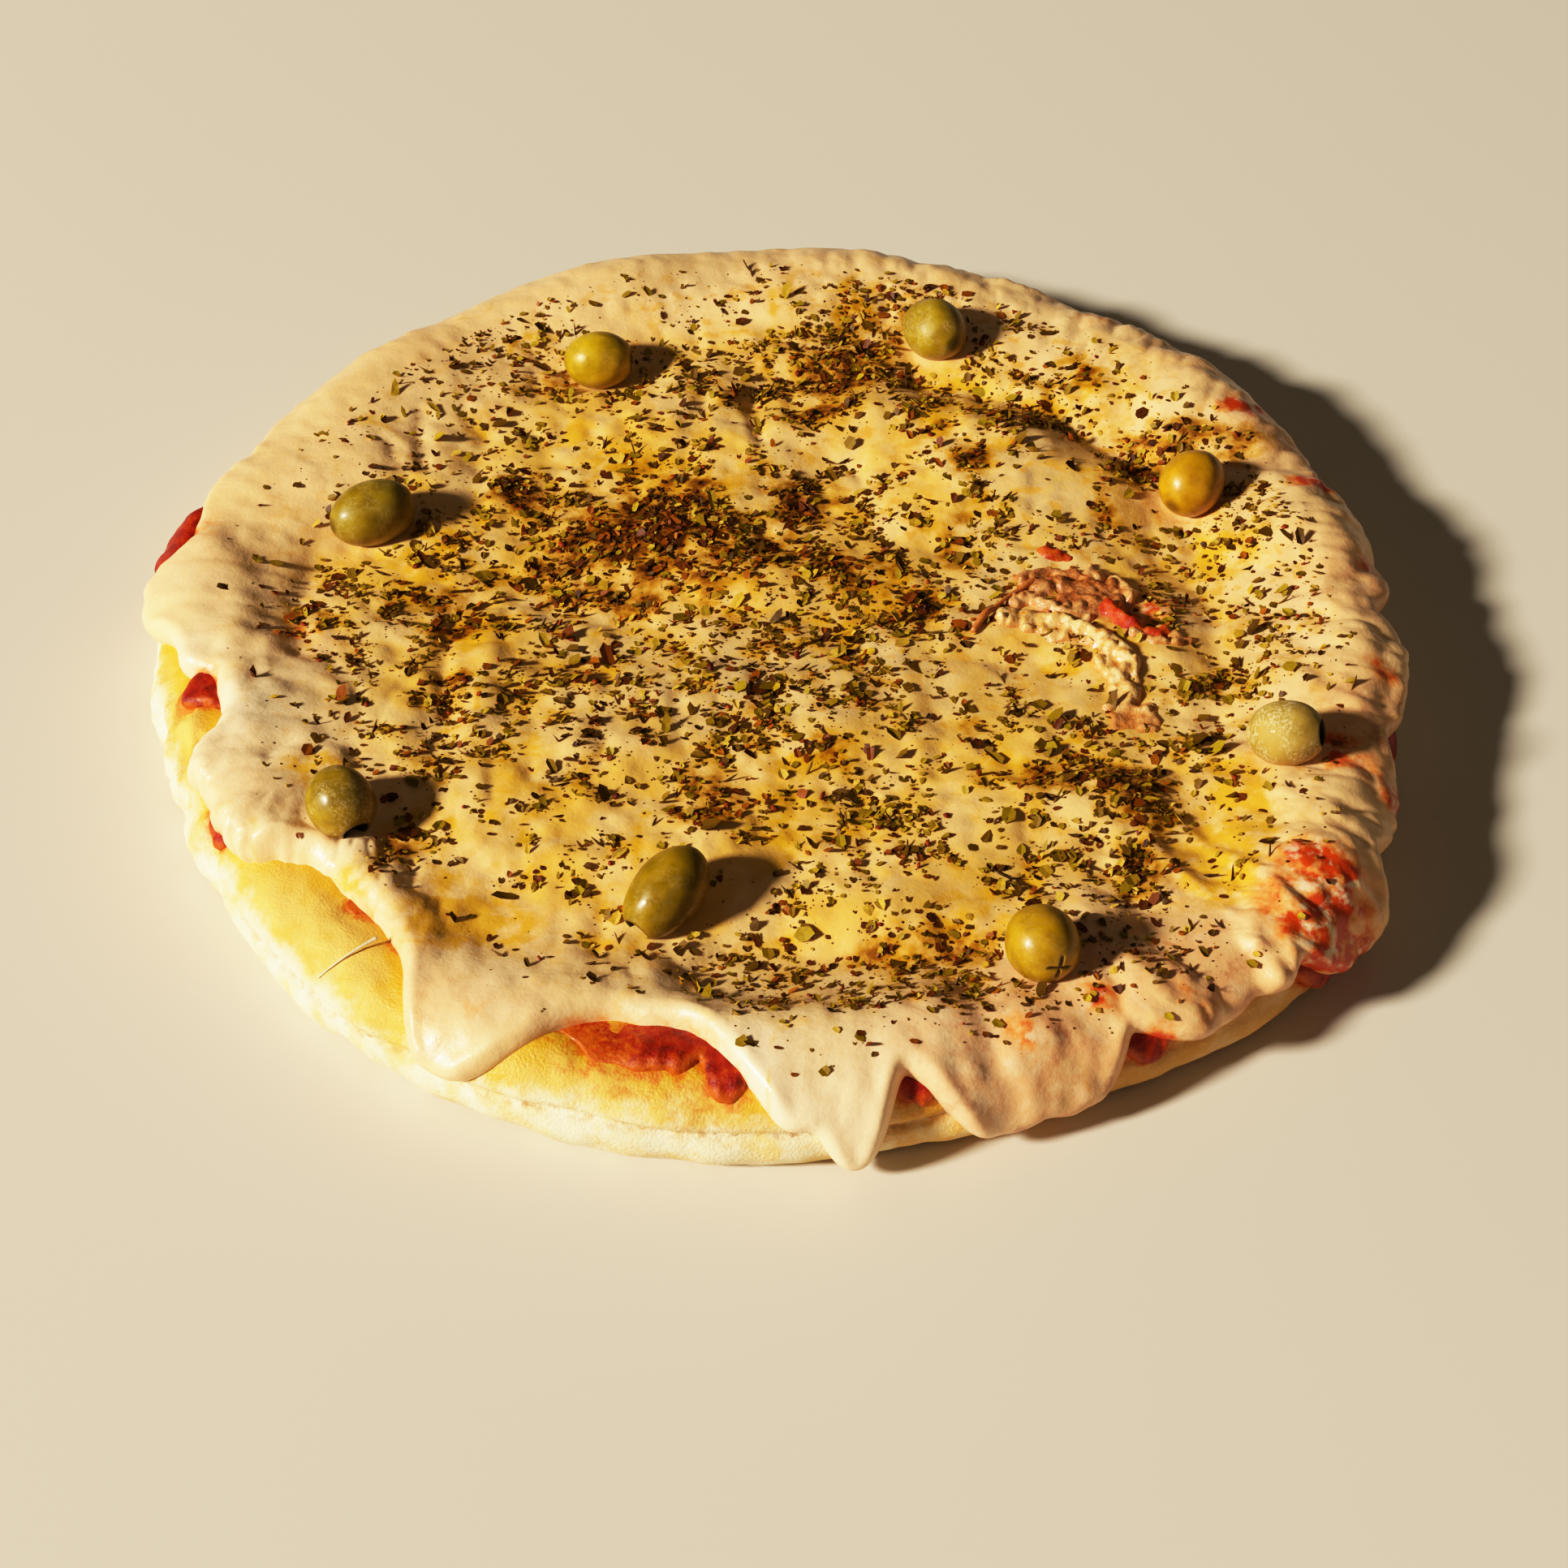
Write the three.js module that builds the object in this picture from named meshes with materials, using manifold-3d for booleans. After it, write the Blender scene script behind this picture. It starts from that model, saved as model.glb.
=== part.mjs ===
// A four cheese pizza: a thick pale dough base with a rounded rim, a coat of tomato sauce, a layer of melted
// cheese that drips over the rim and carries dried oregano, and eight green olives lying in the cheese.
// Millimetres, +Z up. The origin is the middle of the flat underside, and the front is towards -Y.

import * as THREE from 'three';
import { mergeVertices } from 'three/addons/utils/BufferGeometryUtils.js';
import loadManifold from 'manifold-3d';

const wasm = await loadManifold();
wasm.setup();

// Driving dimensions of the dough
const DOUGH_RADIUS = 161;
const RIM_ROUND = 14;
const RIM_HEIGHT = 22.5;
const MIDDLE_HEIGHT = 15.5;
const SLOPE_WIDTH = 38;
const FOOT_INSET = 9;
const CREASE_REACH = 18;
const CREASE_DEPTH = 1.3;
const CREASE_WIDTH = 1.6;
const CREASE_ANGLE = -100;
const CREASE_SPREAD = 42;

// Driving dimensions of the layers
const SAUCE_THICKNESS = 1.6;
const CHEESE_MIDDLE = 5.2;
const CHEESE_RIM = 2.8;
const LEAST_CHEESE = 1.6;
const CHEESE_DOME = 1.6;
const DOME_RADIUS = 80;
const THINNING_REACHES = [-44, -6];
const EDGE_ROUND = 4;
const HIDDEN_SAUCE = 8;
const SUNK = 2;
const LAYER_GAP = 0.3;
const LOWEST_DRIP = 0.6;

// Driving dimensions of the olives and the oregano
const OLIVE_SINK = 2.6;
const PIT_RADIUS = 3.4;
const PIT_DEPTH = 6;
const PIT_TAPER = 0.8;
const FLAKE_COUNT = 54;
const FLAKE_LENGTH = 5.2;
const FLAKE_WIDTH = 2.6;
const FLAKE_THICKNESS = 1.8;
const FLAKE_TILT = 0.5;
const FLAKE_JITTER = 6;
const FLAKE_CLEARANCE = 15;
const LEAST_SIZE = 0.75;
const SIZE_RANGE = 0.5;

// Steps of the faceted surfaces
const SIDES = 84;
const FRONT_CROWDING = 0.3;
const OLIVE_SIDES = 10;
const OLIVE_STATIONS = 7;
const FLAKE_SIDES = 5;

// Where the outline swells or draws in: angle and half width in degrees, change of radius
const OUTLINE_SWELLS = [
  [-42, 16, 10], [-95, 30, 4], [-150, 16, -6], [-168, 10, -5],
  [90, 35, 3], [140, 22, -5], [12, 30, -4], [180, 10, -3],
];

// Stretches where the cheese stops short of the rim's side: angle, half width, change of reach
const USUAL_BARE_REACH = 6;
const BARE_STRETCHES = [
  [-133, 10.5, -12.5], [-165, 6, -7], [-101, 8, -14],
];

// Drips of cheese over the rim: angle, half width, reach of the tip
const DRIPS = [
  [-153, 5, 10], [-146.5, 3, 9.5], [-116.3, 4.9, 17.5], [-87, 3.4, 16.5], [-83.2, 3.2, 26.5],
  [-71, 5.4, 25.5], [-65, 5, 25], [-53, 6.5, 17.5], [-46.5, 3, 15.5], [-37, 7, 24], [-24, 8, 18], [-8, 9, 17],
  [10, 10, 18], [30, 12, 17], [52, 12, 18], [75, 12, 16], [99, 12, 18], [122, 12, 17], [143, 11, 17],
  [161, 7, 11], [177.5, 6, 16.5], [-172.5, 2.2, 6.5],
];

// Runs of sauce that show past the cheese: angle, half width, reach of the tip
const SAUCE_RUNS = [
  [169.5, 6.5, 18], [-168, 3.4, 8], [-150, 3, 13], [-132, 3, -4], [-125, 3, -3], [-101, 9, 4],
  [-93.3, 2.2, 10], [-78, 2.6, 14], [-58.5, 2.6, 20], [-38, 7, 26], [-14, 4, 21], [28, 4, 20], [46, 5, 21],
];

// Long swells of the cheese: wavelength, direction in degrees, depth
const CHEESE_WAVES = [
  [74, 20, 0.7], [53, 75, 0.6], [41, 140, 0.5], [31, 100, 0.3],
];

// Humps and hollows of the cheese: place, radius, height
const HUMPS = [
  [-84, -114, 12, 0.8], [-121, -9, 8, -1.2], [30, 88, 12, 1.4], [16, 60, 13, -2.4], [66, 50, 23, 4.2],
  [44, 36, 13, 1.6], [114, 18, 18, -2.6], [140, 22, 12, 1.6], [108, -74, 15, -2.6], [128, -92, 11, 1.4],
  [74, -75, 20, 3.2], [42, 112, 11, -2.8], [0, 128, 16, 1.8], [-36, 98, 14, -2.6], [-110, 58, 18, 2],
  [-108, -42, 25, 5.4], [-82, -66, 23, 3.6], [-62, 14, 32, -4], [10, 30, 22, -1.6], [44, -22, 16, 1.8],
  [-50, -52, 22, 2], [-20, -70, 24, 2], [4, -122, 16, -1.7], [-3, -117, 10, -1.8], [38, -114, 13, 0.8],
  [52, -121, 8, -2], [20, -136, 12, 1.8], [103, -124, 10, -2.2], [113, -116, 9, 1.4],
];

// Olives: place, length, diameter, heading of the pitted end and its rise, in degrees
const OLIVES = [
  [-46.4, 103, 19.5, 16, 2, 0],
  [46.3, 114, 21, 16.6, 118, -8],
  [-103, 34, 23, 17, 28, 0],
  [111.5, 46, 19, 16.6, 52, 14],
  [125, -53, 19.6, 15.8, -16, 15],
  [-99.7, -78.4, 18, 16.2, -59, -23],
  [-22.6, -104.7, 24.5, 16.4, -131, -22],
  [62.3, -124, 19, 17, 112, -5],
];

// The torn patch, where the cheese has come away and left crumbs round a pit
const TORN_PIT = new THREE.Vector3(95, -4, 0);
const TORN_PIT_SIZE = [8, 6, 3.2];
const TORN_RIDGES = [
  { from: [63, -6], bend: [90, -6], to: [89, -37], lumps: 5, radius: 4.6 },
  { from: [65, 12], bend: [80, 19], to: [91, 6], lumps: 4, radius: 4.2 },
];
const LUMP_RISE = 0.3;
const LUMP_SINK = 1;
const LUMP_FLATNESS = 0.75;
const TORN_PIT_RISE = 0.6;

const DEGREE = Math.PI / 180;
const BULGE_HEIGHT = RIM_HEIGHT - RIM_ROUND;
const SIDE_REACH = RIM_ROUND * Math.PI / 2;
const FOOT_ROUND = (FOOT_INSET + BULGE_HEIGHT) / 2;
const FOOT_REACH = SIDE_REACH + FOOT_ROUND * Math.PI / 2;
const CORE_SINK = 4;

// How steep the sides of the bells are for swells, tongues and stretches
const SWELL_POWER = 2;
const TONGUE_POWER = 3;
const STRETCH_POWER = 4;

const MATERIALS = {
  dough: new THREE.MeshStandardMaterial({ color: 0xf0dcaa, roughness: 0.85, metalness: 0 }),
  tomato_sauce: new THREE.MeshStandardMaterial({ color: 0xb4320c, roughness: 0.45, metalness: 0 }),
  cheese: new THREE.MeshStandardMaterial({ color: 0xf0d696, roughness: 0.4, metalness: 0 }),
  olive: new THREE.MeshStandardMaterial({ color: 0x8a8a2a, roughness: 0.3, metalness: 0 }),
};

// A repeatable number from 0 to 1 for a whole number
function draw(number) {
  const value = Math.sin(number * 12.9898 + 4.1414) * 43758.5453;
  return value - Math.floor(value);
}

// A repeatable size about 1 for a whole number
function unevenSize(number) {
  return LEAST_SIZE + SIZE_RANGE * draw(number);
}

function smoothStep(low, high, value) {
  const share = THREE.MathUtils.clamp((value - low) / (high - low), 0, 1);
  return share * share * (3 - 2 * share);
}

// A bell over angles in degrees: 1 at its centre, with steeper sides for a higher power
function bell(angle, centre, halfWidth, power) {
  const turn = THREE.MathUtils.euclideanModulo(angle - centre + 180, 360) - 180;
  return Math.exp(-Math.pow(Math.abs(turn) / halfWidth, power));
}

function outlineRadius(angle) {
  const change = (sum, [centre, halfWidth, size]) => sum + size * bell(angle, centre, halfWidth, SWELL_POWER);
  return OUTLINE_SWELLS.reduce(change, DOUGH_RADIUS);
}

// The dough's section at a reach: the length along its surface from the rim's crest, outwards and down the
// side if positive, towards the middle if negative. Gives the place and the direction out of the surface.
function section(reach) {
  if (reach > SIDE_REACH) {
    const turn = Math.min((reach - SIDE_REACH) / FOOT_ROUND, Math.PI / 2);
    const inset = FOOT_INSET * (1 - Math.cos(turn));
    const height = BULGE_HEIGHT * (1 - Math.sin(turn));
    return { inset, height, out: Math.cos(turn), up: -Math.sin(turn) };
  }
  if (reach > 0) {
    const turn = reach / RIM_ROUND;
    const inset = RIM_ROUND * (1 - Math.sin(turn));
    const height = BULGE_HEIGHT + RIM_ROUND * Math.cos(turn);
    return { inset, height, out: Math.sin(turn), up: Math.cos(turn) };
  }
  const share = Math.min(-reach / SLOPE_WIDTH, 1);
  const drop = RIM_HEIGHT - MIDDLE_HEIGHT;
  const height = MIDDLE_HEIGHT + drop * (1 + Math.cos(Math.PI * share)) / 2;
  const slope = drop * Math.PI / (2 * SLOPE_WIDTH) * Math.sin(Math.PI * share);
  const length = Math.hypot(1, slope);
  return { inset: RIM_ROUND - reach, height, out: -slope / length, up: 1 / length };
}

// A point at an angle and a reach, lifted off the dough's surface
function surfacePoint(angle, reach, lift) {
  const { inset, height, out, up } = section(reach);
  const radius = Math.max(outlineRadius(angle) - inset + lift * out, 0);
  const z = height + lift * up;
  return new THREE.Vector3(radius * Math.cos(angle * DEGREE), radius * Math.sin(angle * DEGREE), z);
}

// The reach of an edge that drips: a bare edge with rounded tongues beyond it
function drippingReach(angle, bare, tongues) {
  const blend = 6;
  const add = (sum, [centre, halfWidth, tip]) => {
    const length = Math.max(tip - bare, 0) * bell(angle, centre, halfWidth, TONGUE_POWER);
    return sum + Math.pow(length, blend);
  };
  return bare + Math.pow(tongues.reduce(add, 0), 1 / blend);
}

function cheeseReach(angle) {
  const change = (sum, [centre, halfWidth, size]) => {
    return sum + size * bell(angle, centre, halfWidth, STRETCH_POWER);
  };
  return drippingReach(angle, BARE_STRETCHES.reduce(change, USUAL_BARE_REACH), DRIPS);
}

function sauceReach(angle) {
  return drippingReach(angle, cheeseReach(angle) - HIDDEN_SAUCE, SAUCE_RUNS);
}

// How far inside an edge a point lies, measured across the edge where that runs steeply
function depthInside(edge, angle, reach) {
  const step = 0.5;
  const rise = edge(angle + step) - edge(angle - step);
  const run = 2 * step * DEGREE * DOUGH_RADIUS;
  return (edge(angle) - reach) / Math.hypot(1, rise / run);
}

// A layer's height off the dough: full inside its edge, rounded at it, sunk into the dough beyond it
function layerLift(thickness, depth) {
  if (depth < 0) {
    return Math.max(depth * 2, -SUNK);
  }
  const share = Math.min(depth / EDGE_ROUND, 1);
  return thickness * Math.sqrt(share * (2 - share));
}

function sauceLift(angle, reach) {
  return layerLift(SAUCE_THICKNESS, depthInside(sauceReach, angle, reach));
}

function cheeseRelief(x, y) {
  const wave = (sum, [length, direction, depth]) => {
    const along = x * Math.cos(direction * DEGREE) + y * Math.sin(direction * DEGREE);
    return sum + depth * Math.sin(along * 2 * Math.PI / length + direction);
  };
  const hump = (sum, [centreX, centreY, radius, height]) => {
    const distance = Math.hypot(x - centreX, y - centreY) / radius;
    return sum + height * Math.exp(-distance * distance);
  };
  const middle = Math.hypot(x, y) / DOME_RADIUS;
  const dome = CHEESE_DOME * Math.exp(-middle * middle);
  return HUMPS.reduce(hump, CHEESE_WAVES.reduce(wave, dome));
}

function cheeseLift(angle, reach) {
  const foot = surfacePoint(angle, reach, 0);
  const usual = THREE.MathUtils.lerp(CHEESE_MIDDLE, CHEESE_RIM, smoothStep(...THINNING_REACHES, reach));
  const cheese = Math.max(usual + cheeseRelief(foot.x, foot.y), LEAST_CHEESE);
  return layerLift(cheese + SAUCE_THICKNESS + LAYER_GAP, depthInside(cheeseReach, angle, reach));
}

// The angle and reach of a point inside the rim
function spotOf(x, y) {
  const angle = Math.atan2(y, x) / DEGREE;
  return { angle, reach: RIM_ROUND - outlineRadius(angle) + Math.hypot(x, y) };
}

// The height of the cheese's top over a point inside the rim
function cheeseTop(x, y) {
  const { angle, reach } = spotOf(x, y);
  return surfacePoint(angle, reach, cheeseLift(angle, reach)).z;
}

// Triangles between two rings round one axis, which may differ in their number of points
function stitch(faces, inner, outer) {
  const innerSteps = inner.count > 1 ? inner.count : 0;
  const outerSteps = outer.count > 1 ? outer.count : 0;
  let a = 0;
  let b = 0;
  while (a < innerSteps || b < outerSteps) {
    const innerPoint = inner.start + a % inner.count;
    const outerPoint = outer.start + b % outer.count;
    if (b >= outerSteps || (a < innerSteps && (a + 1) * outerSteps <= (b + 1) * innerSteps)) {
      a += 1;
      faces.push(innerPoint, outerPoint, inner.start + a % inner.count);
    } else {
      b += 1;
      faces.push(innerPoint, outerPoint, outer.start + b % outer.count);
    }
  }
}

// A closed solid from rings of points, from one point at the top to one point underneath
function solidFromRings(rings) {
  const positions = [];
  const spans = rings.map((ring) => {
    const start = positions.length / 3;
    ring.forEach((point) => positions.push(point.x, point.y, point.z));
    return { start, count: ring.length };
  });
  const faces = [];
  for (let i = 1; i < spans.length; i += 1) {
    stitch(faces, spans[i - 1], spans[i]);
  }
  const geometry = new THREE.BufferGeometry();
  geometry.setAttribute('position', new THREE.Float32BufferAttribute(positions, 3));
  geometry.setIndex(faces);
  return geometry;
}

// Points all round, closer together at the front, where the edge has the most tongues
function ring(sides, pointAt) {
  return Array.from({ length: sides }, (_, i) => {
    const turn = i * 360 / sides - 180;
    return pointAt(turn - FRONT_CROWDING * Math.cos(turn * DEGREE) / DEGREE);
  });
}

function toManifold(geometry) {
  const bare = geometry.clone();
  bare.deleteAttribute('normal');
  bare.deleteAttribute('uv');
  const merged = mergeVertices(bare);
  return new wasm.Manifold(new wasm.Mesh({
    numProp: 3,
    vertProperties: new Float32Array(merged.attributes.position.array),
    triVerts: new Uint32Array(merged.index.array),
  }));
}

function toGeometry(solid) {
  const mesh = solid.getMesh();
  const geometry = new THREE.BufferGeometry();
  geometry.setAttribute('position', new THREE.BufferAttribute(mesh.vertProperties, 3));
  geometry.setIndex(new THREE.BufferAttribute(mesh.triVerts, 1));
  geometry.computeVertexNormals();
  return geometry;
}

// The dough, or the space round it when it is grown by a clearance
function doughGeometry(grown = 0) {
  const reaches = [-SLOPE_WIDTH, -25, -12, 0, 5, 10, 15, CREASE_REACH, 21, 27, FOOT_REACH];
  const lift = (angle, reach) => {
    const across = (reach - CREASE_REACH) / CREASE_WIDTH;
    const creased = bell(angle, CREASE_ANGLE, CREASE_SPREAD, STRETCH_POWER);
    return grown - CREASE_DEPTH * Math.exp(-across * across) * creased;
  };
  const centre = (height) => [new THREE.Vector3(0, 0, height)];
  return solidFromRings([
    centre(MIDDLE_HEIGHT + grown),
    ...reaches.map((reach) => ring(SIDES, (angle) => surfacePoint(angle, reach, lift(angle, reach)))),
    centre(-grown),
  ]);
}

// A layer that follows the dough's top and ends inside the dough beyond the layer's edge
function layerGeometry(lift, middleRings, reaches) {
  const middle = middleRings.map(({ share, sides }) => ring(sides, (angle) => {
    const reach = RIM_ROUND - outlineRadius(angle) + share * (outlineRadius(angle) - RIM_ROUND - SLOPE_WIDTH);
    return surfacePoint(angle, reach, lift(angle, reach));
  }));
  const rim = reaches.map((reach) => ring(SIDES, (angle) => surfacePoint(angle, reach, lift(angle, reach))));
  const inside = [0, -SLOPE_WIDTH].map((reach) => {
    return ring(SIDES / 2, (angle) => surfacePoint(angle, reach, -CORE_SINK));
  });
  rim.flat().forEach((point) => {
    point.z = Math.max(point.z, LOWEST_DRIP);
  });
  const centreReach = RIM_ROUND - outlineRadius(0);
  const top = new THREE.Vector3(0, 0, MIDDLE_HEIGHT + lift(0, centreReach));
  const bottom = new THREE.Vector3(0, 0, MIDDLE_HEIGHT - CORE_SINK);
  return solidFromRings([[top], ...middle, ...rim, ...inside, [bottom]]);
}

function sauceBlob(grown = 0) {
  const reaches = [-SLOPE_WIDTH, -25, -12, -3, 2, 6, 10, 14, 18, 22, 27];
  return layerGeometry((angle, reach) => sauceLift(angle, reach) + grown, [], reaches);
}

function cheeseBlob() {
  const reaches = [-SLOPE_WIDTH, -28, -19, -10, -3, 3, 7.5, 12, 16, 20, 24.5, 29];
  const middle = [
    { share: 0.14, sides: SIDES / 6 }, { share: 0.28, sides: SIDES / 3 }, { share: 0.42, sides: SIDES / 2 },
    { share: 0.57, sides: SIDES / 2 }, { share: 0.72, sides: SIDES }, { share: 0.87, sides: SIDES },
  ];
  return layerGeometry(cheeseLift, middle, reaches);
}

// An olive turned about its long axis, with a blind pit at the far end, or its outside grown by a clearance
function oliveGeometry(length, diameter, grown = 0) {
  const half = length / 2 + grown;
  const radius = diameter / 2 + grown;
  const mouth = Math.asin(PIT_RADIUS * 2 / diameter);
  const outside = Array.from({ length: OLIVE_STATIONS }, (_, i) => {
    const turn = mouth + (Math.PI - mouth) * i / (OLIVE_STATIONS - 1);
    return new THREE.Vector2(radius * Math.sin(turn), half * Math.cos(turn));
  });
  outside[OLIVE_STATIONS - 1].x = 0;
  const mouthEnd = half * Math.cos(mouth);
  const pit = [
    new THREE.Vector2(0, mouthEnd - PIT_DEPTH),
    new THREE.Vector2(PIT_RADIUS * PIT_TAPER, mouthEnd - PIT_DEPTH),
  ];
  const cap = [new THREE.Vector2(0, mouthEnd)];
  const profile = [...(grown > 0 ? cap : pit), ...outside];
  return new THREE.LatheGeometry(profile.reverse(), OLIVE_SIDES);
}

function olivePlace([x, y, , diameter, heading, rise]) {
  const position = new THREE.Vector3(x, y, cheeseTop(x, y) + diameter / 2 - OLIVE_SINK);
  const flat = Math.cos(rise * DEGREE);
  const axis = new THREE.Vector3(
    flat * Math.cos(heading * DEGREE),
    flat * Math.sin(heading * DEGREE),
    Math.sin(rise * DEGREE),
  );
  const turn = new THREE.Quaternion().setFromUnitVectors(new THREE.Vector3(0, 1, 0), axis);
  return { position, turn };
}

// A crumb of torn cheese, as a flattened ball
function lumpGeometry(centre, radius) {
  const geometry = new THREE.IcosahedronGeometry(radius, 1);
  geometry.scale(1, 1, LUMP_FLATNESS);
  geometry.translate(centre.x, centre.y, centre.z);
  return geometry;
}

function tornLumps() {
  const seedsPerRow = 31;
  return TORN_RIDGES.flatMap(({ from, bend, to, lumps, radius }, row) => {
    const path = new THREE.QuadraticBezierCurve(
      new THREE.Vector2(...from),
      new THREE.Vector2(...bend),
      new THREE.Vector2(...to),
    );
    return path.getSpacedPoints(lumps - 1).map(({ x, y }, i) => {
      const size = radius * unevenSize(row * seedsPerRow + i);
      return lumpGeometry(new THREE.Vector3(x, y, cheeseTop(x, y) + size * LUMP_RISE - LUMP_SINK), size);
    });
  });
}

function tornPit() {
  const geometry = new THREE.IcosahedronGeometry(1, 1);
  geometry.scale(...TORN_PIT_SIZE);
  geometry.translate(TORN_PIT.x, TORN_PIT.y, cheeseTop(TORN_PIT.x, TORN_PIT.y) + TORN_PIT_RISE);
  return geometry;
}

// A flake of oregano: a flat five-sided lozenge with a point above and a point below
function flakeGeometry(length, width) {
  const geometry = new THREE.SphereGeometry(1, FLAKE_SIDES, 2);
  geometry.rotateX(Math.PI / 2);
  geometry.scale(length / 2, width / 2, FLAKE_THICKNESS / 2);
  return geometry;
}

// The largest flakes, spread over the cheese on a spiral, clear of the olives and of the rim's side
function flakes() {
  const goldenTurn = 137.508;
  const seedsPerFlake = 5;
  const spread = DOUGH_RADIUS - 1.5 * RIM_ROUND;
  const turnsToFill = FLAKE_COUNT * 1.12;
  const found = [];
  for (let i = 0; found.length < FLAKE_COUNT; i += 1) {
    const seed = i * seedsPerFlake;
    const radius = spread * Math.sqrt((i + 0.5) / turnsToFill);
    const angle = i * goldenTurn * DEGREE;
    const x = radius * Math.cos(angle) + FLAKE_JITTER * (draw(seed) - 0.5);
    const y = radius * Math.sin(angle) + FLAKE_JITTER * (draw(seed + 1) - 0.5);
    const { angle: spot, reach } = spotOf(x, y);
    const inside = depthInside(cheeseReach, spot, reach) > EDGE_ROUND;
    const away = ([spotX, spotY]) => Math.hypot(x - spotX, y - spotY) > FLAKE_CLEARANCE;
    if (inside && [...OLIVES, TORN_PIT.toArray()].every(away)) {
      const size = unevenSize(seed + 2);
      const geometry = flakeGeometry(FLAKE_LENGTH * size, FLAKE_WIDTH * size);
      geometry.rotateX((draw(seed + 3) - 0.5) * FLAKE_TILT);
      geometry.rotateZ(draw(seed + 4) * 2 * Math.PI);
      geometry.translate(x, y, cheeseTop(x, y));
      found.push(geometry);
    }
  }
  return found;
}

function sauceGeometry() {
  return toGeometry(toManifold(sauceBlob()).subtract(toManifold(doughGeometry(LAYER_GAP))));
}

function cheeseGeometry() {
  const below = toManifold(doughGeometry(LAYER_GAP)).add(toManifold(sauceBlob(LAYER_GAP)));
  let solid = toManifold(cheeseBlob()).subtract(below);
  tornLumps().forEach((lump) => {
    solid = solid.add(toManifold(lump));
  });
  solid = solid.subtract(toManifold(tornPit()));
  flakes().forEach((flake) => {
    solid = solid.add(toManifold(flake));
  });
  OLIVES.forEach((olive) => {
    const { position, turn } = olivePlace(olive);
    const hollow = oliveGeometry(olive[2], olive[3], LAYER_GAP);
    hollow.applyQuaternion(turn).translate(position.x, position.y, position.z);
    solid = solid.subtract(toManifold(hollow));
  });
  return toGeometry(solid);
}

const pizza = new THREE.Group();

function addNode(name, geometry, material) {
  const mesh = new THREE.Mesh(geometry, material);
  mesh.name = name;
  pizza.add(mesh);
  return mesh;
}

addNode('dough', doughGeometry(), MATERIALS.dough);
addNode('tomato_sauce', sauceGeometry(), MATERIALS.tomato_sauce);
addNode('cheese', cheeseGeometry(), MATERIALS.cheese);
OLIVES.forEach((olive, i) => {
  const mesh = addNode(`olive_${i + 1}`, oliveGeometry(olive[2], olive[3]), MATERIALS.olive);
  const { position, turn } = olivePlace(olive);
  mesh.position.copy(position);
  mesh.quaternion.copy(turn);
});

export default pizza;
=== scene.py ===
"""Looks of the four cheese pizza: dough, sauce, melted cheese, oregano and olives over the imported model.

Shapes are worked out in millimetres in the model's own frame and turned into metres as meshes are made.
An angle is in degrees round +Z from +X, so the front is at -90. A reach is the length along the dough's
surface from the crest of its rim, outwards and down the side if positive.
"""

import itertools
import math

import bpy
import numpy as np
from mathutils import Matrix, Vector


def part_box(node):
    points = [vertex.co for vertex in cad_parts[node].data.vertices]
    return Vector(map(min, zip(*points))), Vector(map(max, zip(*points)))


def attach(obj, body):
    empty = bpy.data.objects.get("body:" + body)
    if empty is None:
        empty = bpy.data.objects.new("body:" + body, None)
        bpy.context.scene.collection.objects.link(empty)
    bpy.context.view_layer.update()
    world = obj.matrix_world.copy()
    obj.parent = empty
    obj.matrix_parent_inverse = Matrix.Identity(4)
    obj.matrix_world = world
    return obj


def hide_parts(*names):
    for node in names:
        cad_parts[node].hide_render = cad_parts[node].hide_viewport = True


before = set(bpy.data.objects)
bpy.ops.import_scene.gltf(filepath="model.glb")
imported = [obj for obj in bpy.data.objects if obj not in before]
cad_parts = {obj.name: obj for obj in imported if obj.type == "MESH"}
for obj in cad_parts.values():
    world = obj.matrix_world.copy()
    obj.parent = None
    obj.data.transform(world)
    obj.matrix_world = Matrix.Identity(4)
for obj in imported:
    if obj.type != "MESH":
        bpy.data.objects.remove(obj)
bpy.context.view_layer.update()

MM = 0.001

# Sizes of the dough, as in the model
DOUGH_RADIUS = 161.0
RIM_ROUND = 14.0
RIM_HEIGHT = 22.5
MIDDLE_HEIGHT = 15.5
SLOPE_WIDTH = 38.0
FOOT_INSET = 9.0
CREASE_REACH = 18.0
CREASE_DEPTH = 1.5
CREASE_WIDTH = 1.1
CREASE_ANGLE = -100.0
CREASE_SPREAD = 42.0
BULGE_HEIGHT = RIM_HEIGHT - RIM_ROUND
SIDE_REACH = RIM_ROUND * math.pi / 2
FOOT_ROUND = (FOOT_INSET + BULGE_HEIGHT) / 2
FOOT_REACH = SIDE_REACH + FOOT_ROUND * math.pi / 2

# Sizes of the layers, as in the model
SAUCE_THICKNESS = 1.6
CHEESE_MIDDLE = 5.2
CHEESE_RIM = 2.8
CHEESE_DOME = 1.6
DOME_RADIUS = 80.0
THINNING_REACHES = (-44.0, -6.0)
EDGE_ROUND = 4.0
HIDDEN_SAUCE = 8.0
SUNK = 2.0
LAYER_GAP = 0.3
LOWEST_DRIP = 0.6
CORE_SINK = 4.0
LEAST_CHEESE = 2.8
EDGE_FADE = 34.0

# Where the outline swells or draws in: angle, half width, change of radius
OUTLINE_SWELLS = [
    (-42, 16, 10), (-95, 30, 4), (-150, 16, -6), (-168, 10, -5),
    (90, 35, 3), (140, 22, -5), (12, 30, -4), (180, 10, -3),
]

# Stretches where the cheese stops short of the rim's side: angle, half width, change of reach
USUAL_BARE_REACH = 6.0
BARE_STRETCHES = [(-133, 10.5, -12.5), (-165, 6, -7), (-101, 8, -14)]

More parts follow.
